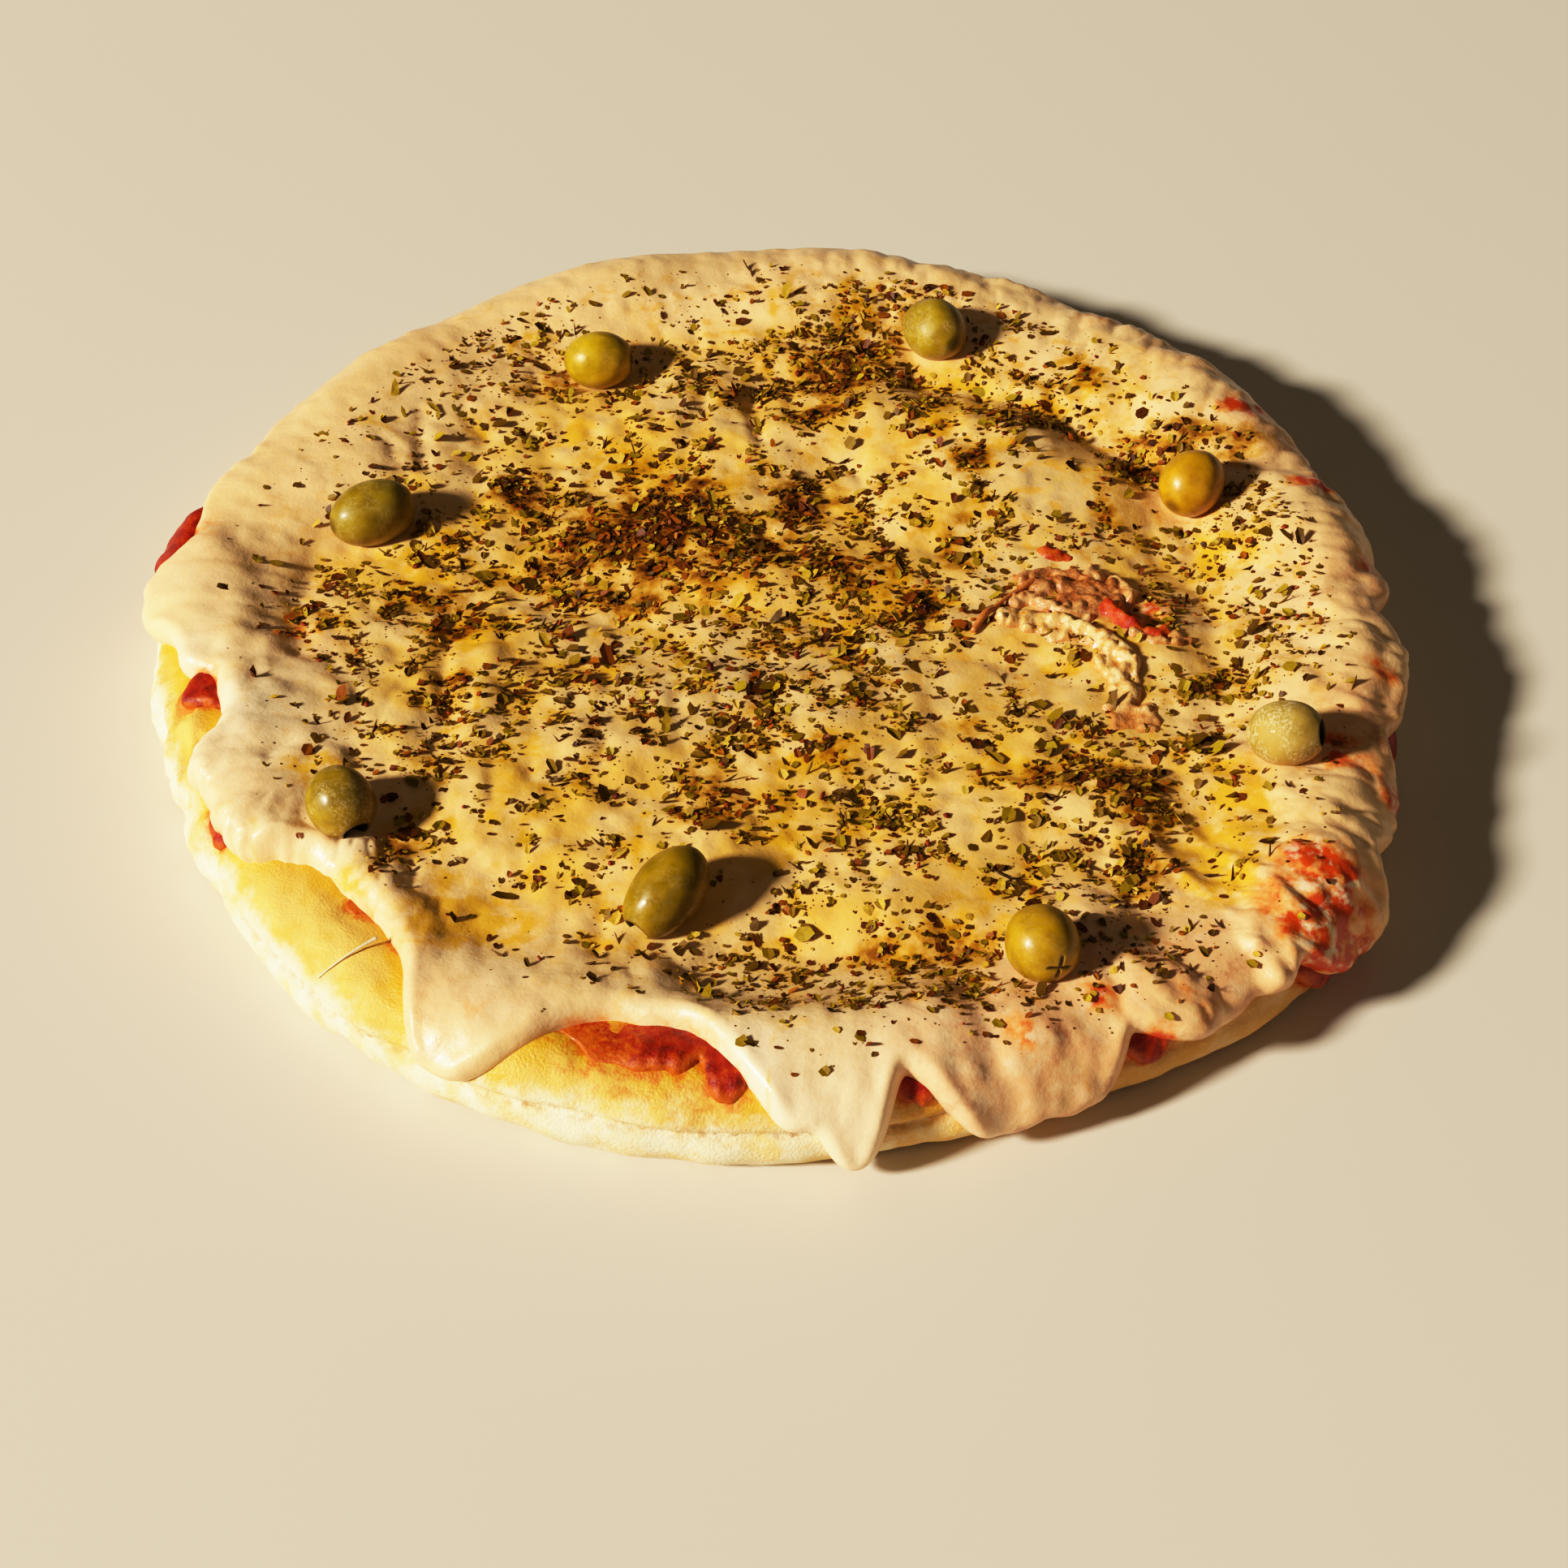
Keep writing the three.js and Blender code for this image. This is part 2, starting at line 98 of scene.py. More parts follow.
# Drips of cheese over the rim: angle, half width, reach of the tip
DRIPS = [
    (-153, 5, 10), (-146.5, 3, 9.5), (-116.3, 4.9, 17.5), (-87, 3.4, 16.5), (-83.2, 3.2, 26.5),
    (-71, 5.4, 25.5), (-65, 5, 25), (-53, 6.5, 17.5), (-46.5, 3, 15.5), (-37, 7, 24),
    (-24, 8, 18), (-8, 9, 17), (10, 10, 18), (30, 12, 17), (52, 12, 18), (75, 12, 16),
    (99, 12, 18), (122, 12, 17), (143, 11, 17),
    (161, 7, 11), (177.5, 6, 16.5), (-172.5, 2.2, 6.5),
]

# Runs of sauce that show past the cheese: angle, half width, reach of the tip
SAUCE_RUNS = [
    (169.5, 6.5, 18), (-168, 3.4, 8), (-150, 3, 13), (-132, 3, -4), (-125, 3, -3), (-101, 9, 4),
    (-93.3, 2.2, 10), (-78, 2.6, 14), (-58.5, 2.6, 20), (-38, 7, 26), (-14, 4, 21), (28, 4, 20), (46, 5, 21),
]

# Where the sauce is only a thin smear: angle and half width
SMEARS = [(-106, 5.5), (-128.5, 9)]

# Long swells of the cheese: wavelength, direction in degrees, depth
CHEESE_WAVES = [(74, 20, 0.7), (53, 75, 0.6), (41, 140, 0.5), (31, 100, 0.3)]

# Humps and hollows of the cheese: place, radius, height
HUMPS = [
    (-84, -114, 12, 0.8), (-121, -9, 8, -1.2), (30, 88, 12, 1.4), (16, 60, 13, -2.4), (66, 50, 23, 4.2),
    (44, 36, 13, 1.6), (114, 18, 18, -2.6), (140, 22, 12, 1.6), (108, -74, 15, -2.6), (128, -92, 11, 1.4),
    (74, -75, 20, 3.2), (42, 112, 11, -2.8), (0, 128, 16, 1.8), (-36, 98, 14, -2.6), (-110, 58, 18, 2),
    (-108, -42, 25, 5.4), (-82, -66, 23, 3.6), (-62, 14, 32, -4), (10, 30, 22, -1.6), (44, -22, 16, 1.8),
    (-50, -52, 22, 2), (-20, -70, 24, 2), (4, -122, 16, -1.7), (-3, -117, 10, -1.8), (38, -114, 13, 0.8),
    (52, -121, 8, -2), (20, -136, 12, 1.8), (103, -124, 10, -2.2), (113, -116, 9, 1.4),
]

# Folds of the cheese, as curves from a start through a bend to an end, with half width and height
FOLDS = [
    ((-14, -142), (20, -146), (56, -141), 8.0, 1.8),
    ((-8, -123), (22, -123), (54, -117), 10.0, -2.2),
    ((40, 99), (76, 92), (100, 64), 5.0, -2.4),
    ((98, 64), (116, 60), (136, 58), 4.5, -2.0),
    ((24, 84), (64, 80), (90, 48), 9.0, 2.0),
    ((-3, 96), (-7, 84), (-2, 71), 2.4, -1.5),
    ((-12, 88), (-18, 80), (-14, 72), 4.0, 0.9),
    ((-95, 82), (-97, 70), (-92, 58), 2.2, -1.0),
    ((-80, 2), (-82, -20), (-78, -40), 2.4, -1.4),
    ((-71, -2), (-69, -22), (-70, -40), 5.0, 1.0),
    ((90, -82), (102, -98), (114, -124), 2.4, 1.2),
    ((82, -90), (90, -106), (97, -116), 2.4, 0.9),
    ((98, -76), (112, -92), (122, -108), 2.2, 0.9),
    ((88, -106), (102, -122), (116, -137), 6.0, -2.8),
    ((66, -122), (84, -124), (94, -136), 8.0, 2.0),
    ((46, -124), (49, -136), (50, -150), 7.0, -2.2),
    ((-12, -124), (-10, -134), (-8, -146), 8.0, -1.2),
    ((98, -62), (104, -84), (106, -106), 9.0, -1.4),
    ((103, -106), (108, -114), (112, -124), 8.0, -2.0),
    ((110, 40), (119, 0), (110, -56), 4.0, -1.2),
    ((-118, 20), (-124, 0), (-116, -18), 4.0, -1.2),
    ((-145, 26), (-132, 10), (-134, -14), 5.0, 1.0),
    ((-72, -46), (-40, -60), (16, -44), 6.0, 0.7),
    ((-70, -54), (-40, -68), (-18, -70), 5.0, -0.7),
    ((-60, -118), (-20, -122), (40, -116), 7.0, -0.9),
    ((-64, 92), (-50, 84), (-40, 92), 5.0, -0.8),
]

# Olives: length, diameter, heading and rise of the pitted end, in degrees
OLIVES = [
    (19.5, 16.0, 2, 0),
    (21.0, 16.6, 118, -8),
    (23.0, 17.0, 28, 0),
    (19.0, 16.6, 52, 14),
    (19.6, 15.8, -16, 15),
    (18.0, 16.2, -59, -23),
    (24.5, 16.4, -131, -22),
    (19.0, 17.0, 112, -5),
]

# Patches of toasted cheese: place, radius, strength
TOASTED = [
    (-27, 34, 16, 1.2), (-42, 56, 13, 0.3), (-34, 66, 7, 0.3), (-52, 24, 12, 0.55), (-64, 12, 9, 0.45),
    (8, 48, 9, 1.0), (18, 18, 8, 0.9), (28, 13, 6, 0.8), (39, 2, 6, 1.0), (0, 26, 8, 0.7),
    (55, 58, 7, 0.7), (48, 72, 5, 0.6), (68, 82, 8, 0.5), (15, 83, 7, 0.7), (22, 101, 13, 0.6),
    (28, 122, 9, 0.5), (90, 72, 9, 0.6), (108, 64, 11, 0.75), (128, 64, 8, 0.8), (88, 100, 11, 0.5),
    (-79, -26, 6, 0.75), (-14, -71, 10, 0.75), (47, -42, 6, 0.5), (64, -64, 7, 0.5), (86, -62, 10, 0.55),
    (90, -95, 8, 0.7), (-88, -90, 6, 0.6), (42, -116, 8, 0.7), (24, -119, 7, 0.5), (-97, 60, 5, 0.4),
    (-118, 10, 5, 0.45), (48, 35, 6, 0.5), (90, 40, 7, 0.5), (-60, 97, 6, 0.4), (-20, 8, 12, 0.4),
    (-82, 8, 6, 0.8), (-80, -8, 6, 0.8), (-46, 36, 9, 0.5), (-18, 50, 7, 0.5), (-40, 6, 7, 0.5),
    (92, -74, 8, 0.7), (-69, 49, 8, 0.7), (-116, -2, 7, 0.6), (15, -51, 7, 0.5),
    (112, -28, 6, 0.4), (48, 22, 6, 0.5),
]

# Patches where golden oil lies on the cheese: place, radius, strength
OILED = [
    (108, -82, 13, 1.0), (112, -60, 10, 0.7), (58, -62, 13, 0.6), (92, 96, 15, 0.7), (60, 84, 13, 0.6),
    (-62, -55, 12, 0.55), (-74, -4, 12, 0.6), (-74, -104, 10, 1.0), (-60, -110, 10, 0.9), (24, 132, 10, 0.6),
    (8, -82, 10, 0.5), (74, -18, 9, 0.5), (-40, 64, 15, 0.5), (-110, -66, 8, 0.5),
    (118, 24, 11, 0.9), (-62, -74, 9, 0.5), (-76, -116, 8, 0.7), (30, 8, 12, 0.7),
    (106, -97, 9, 0.9), (-95, -98, 8, 0.6), (5, -60, 12, 0.35),
    (-95, 48, 10, 0.5), (-86, 30, 10, 0.5), (-110, 14, 8, 0.5),
]

# Patches of grey, sweaty cheese, with grey painted shade over the hollow along the front rim: place, radius,
# strength
SWEATY_AND_SHADED = [
    (70, 46, 18, 0.8), (22, -14, 27, 1.0), (-15, -25, 24, 0.9), (-115, -30, 14, 0.4), (-104, 84, 22, 0.4),
    (52, -98, 20, 0.45), (76, -38, 14, 0.6), (-30, -134, 22, 0.5), (10, -138, 22, 0.6), (48, -140, 18, 0.5),
    (-12, 92, 14, 0.4), (60, 20, 14, 0.6), (-60, -6, 12, 0.4),
]

# Patches where sauce shows pink through the cheese, with dusky mottles that are partly painted shade on the
# lower right: place, radius, strength
PINKISH = [
    (66, -146, 22, 1.0), (100, -124, 18, 1.0), (128, -98, 16, 0.7), (148, -40, 14, 0.9), (153, 10, 14, 0.9),
    (-118, -14, 9, 0.6), (-152, 20, 14, 0.4), (-80, -116, 10, 0.6), (138, 74, 14, 0.9),
    (118, 108, 12, 0.8), (40, -150, 14, 0.5), (-128, -72, 9, 0.5), (-72, -138, 9, 0.5),
    (-54, -140, 6, 0.4), (8, 156, 18, 0.3), (-100, 118, 18, 0.3),
]

# Patches where sauce stains the cheese red: place, radius, strength
STAINED = [
    (137, -53, 6.5, 1.2), (128, -94, 7, 1.3), (120, -109, 7, 0.9), (133, -108, 9, 1.3), (134, -122, 9, 1.2),
    (114, -131, 5, 1.1), (103, -138, 3.5, 1.4), (94, -131, 4, 0.5), (124, -100, 12, 0.3),
    (94, 2, 9, 0.9), (142, 48, 5, 1.3), (152, 18, 4, 0.8), (-119, -8, 5, 0.6), (127, 80, 5.5, 1.3),
    (148, -63, 5, 1.2), (90, 122, 5, 0.8), (150, -24, 4, 0.7), (-148, 30, 7, 0.5), (-138, -28, 6, 0.4),
    (74, -134, 4, 0.9), (56, -144, 3.5, 0.9), (88, -139, 3, 1.0), (-64, -138, 4, 0.3),
]

# Where the oregano lies thick or thin beside its usual spread: place, radius, change of its share
HERB_PATCHES = [
    (-26, 34, 15, 2.4), (-52, 20, 18, 1.0), (8, 50, 10, 0.9), (-6, 12, 20, 0.5), (24, 16, 9, 0.6),
    (20, -8, 22, 0.7), (-16, -24, 22, 0.6), (20, 100, 17, 1.1), (66, 80, 12, 0.1), (55, 58, 6, 0.5),
    (112, 64, 13, 1.6), (-14, -70, 11, 1.6), (84, -62, 14, 1.2), (62, -66, 7, 0.7), (43, -116, 9, 1.3),
    (14, -116, 10, 0.2), (-88, -90, 7, 1.6), (-79, -30, 7, 1.4), (38, 4, 6, 1.4), (-58, 96, 8, 0.9),
    (70, 46, 17, -0.9), (34, 66, 17, -0.9), (-64, -92, 24, -0.5), (-96, 92, 26, 0.35), (-70, -22, 8, -0.7),
    (-44, -96, 18, -0.35), (88, 98, 18, 0.45), (-8, 92, 12, 0.5), (-76, 114, 22, 0.6), (134, -8, 18, 0.8),
    (0, -124, 16, 0.6), (128, 36, 18, 0.9), (18, -80, 16, 0.5), (82, -130, 16, 0.8), (36, -142, 16, 0.7),
    (60, -138, 13, 1.2), (90, -95, 9, 1.3), (92, -74, 9, 1.0), (109, -51, 10, 0.9), (112, -28, 10, 0.8),
    (96, -28, 8, 0.6), (-70, 50, 11, 1.1), (45, -95, 12, -0.6), (32, 26, 9, -0.8), (33, 50, 10, -0.7),
    (-116, -3, 9, 1.1), (52, 107, 10, 0.9), (15, -51, 11, 0.9), (35, 138, 10, 0.8), (-62, -74, 9, 0.6),
    (-82, -2, 9, 0.9), (-18, -3, 10, 0.6), (49, 23, 9, 0.8), (62, -50, 9, -0.6), (60, 2, 7, 0.8),
    (28, -134, 9, 0.8), (-15, -116, 8, 1.0),
]

# Stretches of the rim with a look of their own: middle and half width in degrees, strength
STRETCHES = {
    "front drips": (-85, 28, 0.7), "teeth": (-150, 12, 1.0), "smooth back": (140, 52, 2.1),
    "smooth front": (-84, 40, 1.5), "front runs": (-84, 40, 0.2), "left knobs": (-160, 34, 1.0),
    "left runs": (-160, 34, 0.35), "front lobe": (-78, 22, 0.75), "right lumps": (5, 75, 1.0),
    "front right lumps": (-45, 18, 0.6), "roll": (-144, 18, 1.0), "wrinkles": (-162, 16, 1.0),
    "baked": (-45, 34, 1.0), "soaked": (-102, 9, 1.0), "crease": (CREASE_ANGLE, CREASE_SPREAD, 1.0),
    "left run": (169.5, 6.5, 3.0), "small left run": (-168, 3, 1.0), "pale left": (-138, 42, 0.28),
    # The white left and white front stretches are partly painted light, on slopes turned from the light
    "white left and painted light": (-164, 18, 0.5), "white front and painted light": (-84, 16, 0.85), "spots": (40, 80, 0.65),
    "herbs right": (45, 85, 0.36), "herbs front": (-68, 30, 0.3), "herbs down front": (-72, 36, 13.0),
    "herbs down right": (0, 45, 5.0),
}

# Zones along the reach: where there is nothing of a thing yet, and where there is all of it
ZONES = {
    "rim relief": (-26.0, -6.0), "bead": (0.0, 8.0), "left run": (2.0, 9.0), "small left run": (-4.0, 2.0),
    "lip": (CREASE_REACH, CREASE_REACH + 6.0), "lip end": (FOOT_REACH, FOOT_REACH - 4.0),
    "wrinkles": (-2.0, 6.0), "wrinkles end": (FOOT_REACH, FOOT_REACH - 6.0),
    "above foot": (FOOT_REACH, FOOT_REACH - 3.0), "dough oil": (CREASE_REACH + 6.0, CREASE_REACH - 4.0),
    "flour": (CREASE_REACH - 13.0, CREASE_REACH + 3.0), "dough toast": (CREASE_REACH + 8.0, FOOT_REACH),
    "golden": (2.0, -22.0), "oily creases": (-8.0, -36.0), "pale rim": (-34.0, -6.0),
    "white front and painted light": (-16.0, 2.0), "rim colour": (-44.0, -14.0), "spots": (6.0, -12.0),
    "herbs middle": (-12.0, -50.0), "herbs rim": (8.0, -12.0), "herb patches": (9.0, -9.0),
}

# Unevenness: a level, then the depth, size and seed of each noise. A fourth number folds the noise
# upwards into lumps, and the creases between them are softer the larger it is.
RELIEF = {
    "edge wander": (0.0, (0.9, 9.0, 3), (0.45, 4.0, 4)),
    "edge teeth": (-1.7, (4.6, 6.0, 7, 0.0), (1.6, 3.0, 8, 0.0)),
    "sauce edge": (0.0, (1.0, 5.0, 5), (0.6, 2.2, 6)),
    "pillows": (-0.26, (0.6, 20.0, 12, 0.004), (0.4, 9.0, 13, 0.004)),
    "left knobs": (-0.16, (0.4, 11.0, 11, 0.004), (0.2, 5.5, 10, 0.0)),
    "right lumps": (-0.714, (0.85, 19.0, 6, 0.0), (1.19, 8.0, 7, 0.0), (0.595, 4.0, 9, 0.0)),
    "torn grains": (-0.4, (1.0, 11.0, 8, 0.01), (0.5, 5.0, 9, 0.0), (0.25, 2.6, 5)),
    "cheese skin": (0.0, (0.35, 4.2, 14)),
    "rim swells": (0.0, (0.8, 24.0, 17)),
    "roll": (1.2, (1.9, 9.0, 18, 0.0), (0.9, 4.0, 19, 0.0)),
    "crease wander": (0.0, (1.2, 22.0, 21)),
    "lip": (0.6, (0.9, 16.0, 22)),
    "wrinkles": (0.9, (-2.25, 6.0, 24, 0.0)),
    "dough": (0.0, (0.9, 19.0, 27), (0.6, 9.0, 25), (0.25, 3.5, 26)),
    "baked": (0.7, (0.6, 14.0, 28)),
    "pulp": (0.0, (0.5, 4.5, 31), (0.3, 2.2, 32)),
    "toast": (0.75, (0.5, 6.0, 41)),
    "oil veins": (0.0, (1.0, 24.0, 42)),
    "vein stretches": (0.0, (1.0, 40.0, 43)),
    "white": (0.75, (0.5, 18.0, 44)),
    "golden": (-0.05, (1.0, 14.0, 45)),
    "olive": (0.0, (0.035, 9.0, 50), (0.012, 3.5, 60)),
    "herb spread": (0.2, (0.7, 17.0, 71)),
    "herb clumps": (0.0, (1.0, 6.5, 72)),
    "herb grain": (0.0, (0.7, 3.2, 73)),
    "torn outline": (0.0, (1.7, 6.0, 0), (0.8, 2.8, 1)),
    "torn knobs": (-0.3, (1.5, 3.4, 4, 0.0), (0.5, 1.7, 5)),
}

# Unevenness that runs down the rim: depth, width round the rim, length along the reach, seed
CHEESE_RUNS = [(1.0, 9.0, 26.0, 16), (0.5, 4.5, 14.0, 15)]
DOUGH_RUNS = [(1.5, 6.0, 18.0, 23)]

# Colours as seen on a screen: red, green and blue from 0 to 255
PAINTS = {
    "cheese deep": (241, 188, 92), "cheese light": (249, 204, 138), "cheese rim": (251, 205, 150),
    "cheese white": (252, 226, 190), "cheese sweaty and shade": (210, 178, 132), "cheese pink": (238, 178, 126),
    "cheese dusky and shade": (156, 80, 36), "cheese oil": (230, 170, 24), "cheese spots": (230, 166, 52),
    "toast golden": (208, 148, 22), "toast brown": (142, 82, 7), "toast dark": (66, 26, 3),
    "stain orange": (248, 156, 70), "stain red": (214, 66, 4), "curds": (250, 214, 174),
    "sauce thin": (198, 98, 14), "dough deep": (226, 174, 76), "dough light": (240, 199, 118),
    "dough oil": (222, 164, 22), "dough baked": (216, 164, 92), "flour": (242, 228, 194),
    "dough stain": (212, 112, 10), "dough toast": (166, 108, 44), "olive frost": (216, 194, 146),
    # The olive pit colour is painted shade in the pit's hole and the cross cut
    "olive pit": (40, 24, 6), "herb veins": (116, 78, 8), "rosy deep": (200, 128, 74),
    "rosy light": (230, 178, 120), "torn oil and shade": (204, 124, 48), "cheese strand": (252, 236, 196),
    "toasted strand": (228, 138, 66), "floor deep": (222, 212, 194), "floor light": (227, 217, 200),
}

# Rows of colours that a noise, or a number for each bit of a mesh, picks from: position and colour
RAMPS = {
    "tomato_sauce": [
        (0.3, (112, 14, 3)), (0.48, (152, 30, 5)), (0.62, (172, 50, 10)), (0.75, (202, 100, 30)),
    ],
    "tomato_pulp": [
        (0.3, (148, 28, 3)), (0.48, (190, 52, 8)), (0.62, (212, 84, 20)), (0.75, (232, 144, 62)),
    ],
    "smear": [(0.34, (148, 30, 3)), (0.48, (184, 58, 5)), (0.64, (214, 112, 12))],
    "oregano_green": [
        (0.0, (70, 43, 3)), (0.25, (110, 78, 5)), (0.55, (140, 112, 12)),
        (0.8, (170, 142, 28)), (0.92, (200, 158, 40)), (1.0, (214, 176, 74)),
    ],
    "oregano_toasted": [(0.0, (50, 17, 1)), (0.4, (92, 38, 2)), (0.8, (138, 68, 5)), (1.0, (172, 100, 14))],
    "oregano_specks": [(0.0, (50, 30, 10)), (0.5, (96, 66, 22)), (1.0, (140, 112, 44))],
    "oregano_stems": [(0.0, (40, 20, 4)), (0.6, (86, 56, 12)), (1.0, (140, 106, 36))],
    "dried_tomato_flecks": [(0.0, (84, 18, 8)), (0.5, (128, 34, 12)), (1.0, (168, 66, 22))],
    "torn_cheese": [
        (0.3, (200, 120, 40)), (0.44, (226, 172, 96)), (0.58, (238, 196, 132)), (0.72, (246, 218, 168)),
    ],
    "torn brown": [(0.3, (120, 58, 18)), (0.5, (164, 90, 36)), (0.7, (212, 146, 80))],
}

# How much darker the far end of an olive and the dark parts of a strand are
DARKER = 0.72

# The largest flakes, as in the model
FLAKE_COUNT = 54
FLAKE_LENGTH = 5.2
FLAKE_WIDTH = 2.6

# The torn patch, as in the model
TORN_PIT = (95.0, -4.0)
TORN_PIT_SIZE = (8.0, 6.0, 3.2)

# The camera and the picture that it takes
PHOTO_SIDE = 1932.0
PHOTO_FOCUS = 4000.0
SENSOR_WIDTH = 36.0
CAMERA_ELEVATION = 43.79
CAMERA_AIM = (4.25, -38.8, 0.0)
CAMERA_DISTANCE = 812.2


# Sums over angles, places and lattices


def bell(angle, centre, half_width, power=4):
    """A bell over angles: 1 at its centre, with steeper sides for a higher power."""
    turn = np.abs((angle - centre + 180.0) % 360.0 - 180.0)
    return np.exp(-((turn / half_width) ** power))


def ease(low, high, value):
    """Smooth step from 0 at low to 1 at high."""
    share = np.clip((value - low) / (high - low), 0.0, 1.0)
    return share * share * (3.0 - 2.0 * share)


def stretch(name, angle):
    centre, half_width, strength = STRETCHES[name]
    return strength * bell(angle, centre, half_width)


def zone(name, reach):
    return ease(*ZONES[name], reach)


def scatter(cells):
    """A repeatable number from -1 to 1 for each row of three whole numbers."""
    mixed = cells[:, 0] * 374761393 + cells[:, 1] * 668265263 + cells[:, 2] * 2147483647
    mixed = mixed.astype(np.uint64)
    mixed = (mixed ^ (mixed >> np.uint64(13))) * np.uint64(1274126177)
    mixed = (mixed ^ (mixed >> np.uint64(16))) * np.uint64(2246822519)
    mixed ^= mixed >> np.uint64(15)
    return (mixed & np.uint64(0xFFFFFF)).astype(float) / 0x7FFFFF - 1.0


def noise(points, size, seed):
    """Smooth noise from -1 to 1 with features about size mm across."""
    scaled = points / size + seed * 17.37
    cell = np.floor(scaled).astype(np.int64)
    part = scaled - cell
    eased = part * part * part * (part * (part * 6.0 - 15.0) + 10.0)
    total = np.zeros(len(points))
    for corner in itertools.product((0, 1), repeat=3):
        weight = np.prod(np.where(corner, eased, 1.0 - eased), axis=1)
        total += weight * scatter(cell + np.array(corner))
    return total


def relief(name, points, shift=0):
    """Unevenness by its name, with its seeds shifted."""
    level, *rows = RELIEF[name]
    total = np.full(len(points), level)
    for depth, size, seed, *softness in rows:
        height = noise(points, size, seed + shift)
        if softness:
            height = np.sqrt(height**2 + softness[0])
        total += depth * height
    return total


def patches(x, y, rows):
    """The sum of soft round patches over a place."""
    total = np.zeros_like(x)
    for centre_x, centre_y, radius, strength in rows:
        near = ((x - centre_x) ** 2 + (y - centre_y) ** 2) / radius**2
        total += strength * np.exp(-near)
    return total


def fading(distance, run):
    """1 up to a distance of 0, and fading beyond it over about the length of a run."""
    return np.exp(-np.maximum(distance, 0.0) / run)


def flat_points(x, y):
    return np.stack([x, y, np.zeros_like(x)], axis=-1)


def ring_angles(sides):
    return np.arange(sides) * 360.0 / sides - 180.0


def bend_points(start, bend, end, count):
    """Points along a curve from start to end that is pulled towards bend."""
    share = np.linspace(0.0, 1.0, count)[:, None]
    start, bend, end = (np.array(point, float) for point in (start, bend, end))
    return (1 - share) ** 2 * start + 2 * share * (1 - share) * bend + share**2 * end


def curve_distance(x, y, start, bend, end, count):
    """The squared distance from places to a curve, which is taken as a count of points."""
    near = np.full(x.shape, np.inf)
    for point_x, point_y in bend_points(start, bend, end, count):
        near = np.minimum(near, (x - point_x) ** 2 + (y - point_y) ** 2)
    return near


# The dough's surface


def outline_radius(angle):
    return DOUGH_RADIUS + sum(size * bell(angle, centre, half, 2) for centre, half, size in OUTLINE_SWELLS)


def section(reach):
    """Inset, height and the direction out of the dough's surface at a reach."""
    under = np.clip((reach - SIDE_REACH) / FOOT_ROUND, 0.0, math.pi / 2)
    side = np.clip(reach, 0.0, SIDE_REACH) / RIM_ROUND
    share = np.clip(-reach / SLOPE_WIDTH, 0.0, 1.0)
    drop = RIM_HEIGHT - MIDDLE_HEIGHT
    slope = drop * math.pi / (2 * SLOPE_WIDTH) * np.sin(math.pi * share)
    length = np.hypot(1.0, slope)
    where = [reach > SIDE_REACH, reach > 0]
    insets = [FOOT_INSET * (1 - np.cos(under)), RIM_ROUND * (1 - np.sin(side))]
    heights = [BULGE_HEIGHT * (1 - np.sin(under)), BULGE_HEIGHT + RIM_ROUND * np.cos(side)]
    return (
        np.select(where, insets, RIM_ROUND - reach),
        np.select(where, heights, MIDDLE_HEIGHT + drop * (1 + np.cos(math.pi * share)) / 2),
        np.select(where, [np.cos(under), np.sin(side)], -slope / length),
        np.select(where, [-np.sin(under), np.cos(side)], 1 / length),
    )


def surface_point(angle, reach, lift=0.0):
    """Points at angles and reaches, lifted off the dough's surface."""
    inset, height, out, up = section(reach)
    radius = np.maximum(outline_radius(angle) - inset + lift * out, 0.0)
    turn = np.radians(angle)
    return np.stack([radius * np.cos(turn), radius * np.sin(turn), height + lift * up], axis=-1)


def spot_of(x, y):
    """The angle and reach of places inside the rim."""
    angle = np.degrees(np.arctan2(y, x))
    return angle, RIM_ROUND - outline_radius(angle) + np.hypot(x, y)


def round_the_rim(angle):
    """Places on a ring, for noise that runs round the rim without a seam."""
    turn = np.radians(angle)
    return flat_points(DOUGH_RADIUS * np.cos(turn), DOUGH_RADIUS * np.sin(turn))


def flowing(angle, reach, rows):
    """Unevenness that runs down the rim."""
    ring = round_the_rim(angle)
    total = np.zeros_like(reach)
    for depth, width, length, seed in rows:
        ring[:, 2] = reach * width / length
        total += depth * noise(ring, width, seed)
    return total


# The edges of the sauce and of the cheese

EDGE_STEP = 0.25
EDGE_ANGLES = np.arange(-180.0, 180.0, EDGE_STEP)
EDGE_WINDOW = np.arange(-9.0, 9.0 + EDGE_STEP, EDGE_STEP)
TONGUE_BLEND = 6
SINK_SLOPE = 2.0


def dripping_reach(angle, bare, tongues):
    """The reach of an edge that drips: a bare edge with rounded tongues beyond it."""
    total = np.zeros_like(angle)
    for centre, half_width, tip in tongues:
        total += (np.maximum(tip - bare, 0.0) * bell(angle, centre, half_width, 3)) ** TONGUE_BLEND
    return bare + total ** (1 / TONGUE_BLEND)


def cheese_edge():
    """The reach of the cheese's edge, calm and with its teeth."""
    short = sum(size * bell(EDGE_ANGLES, centre, half) for centre, half, size in BARE_STRETCHES)
    reach = dripping_reach(EDGE_ANGLES, USUAL_BARE_REACH + short, DRIPS)
    ring = round_the_rim(EDGE_ANGLES)
    wander = (1.0 - stretch("front drips", EDGE_ANGLES)) * relief("edge wander", ring)
    return reach, reach + wander + stretch("teeth", EDGE_ANGLES) * relief("edge teeth", ring)


CALM_EDGE, CHEESE_EDGE = cheese_edge()
SAUCE_EDGE = dripping_reach(EDGE_ANGLES, CHEESE_EDGE - HIDDEN_SAUCE, SAUCE_RUNS)
SAUCE_EDGE = SAUCE_EDGE + relief("sauce edge", round_the_rim(EDGE_ANGLES))


def smeared(angle):
    """Where the sauce is no more than a smear."""
    return sum(bell(angle, *smear) for smear in SMEARS)


def edge_at(edge, angle):
    return np.interp(angle, EDGE_ANGLES, edge, period=360.0)


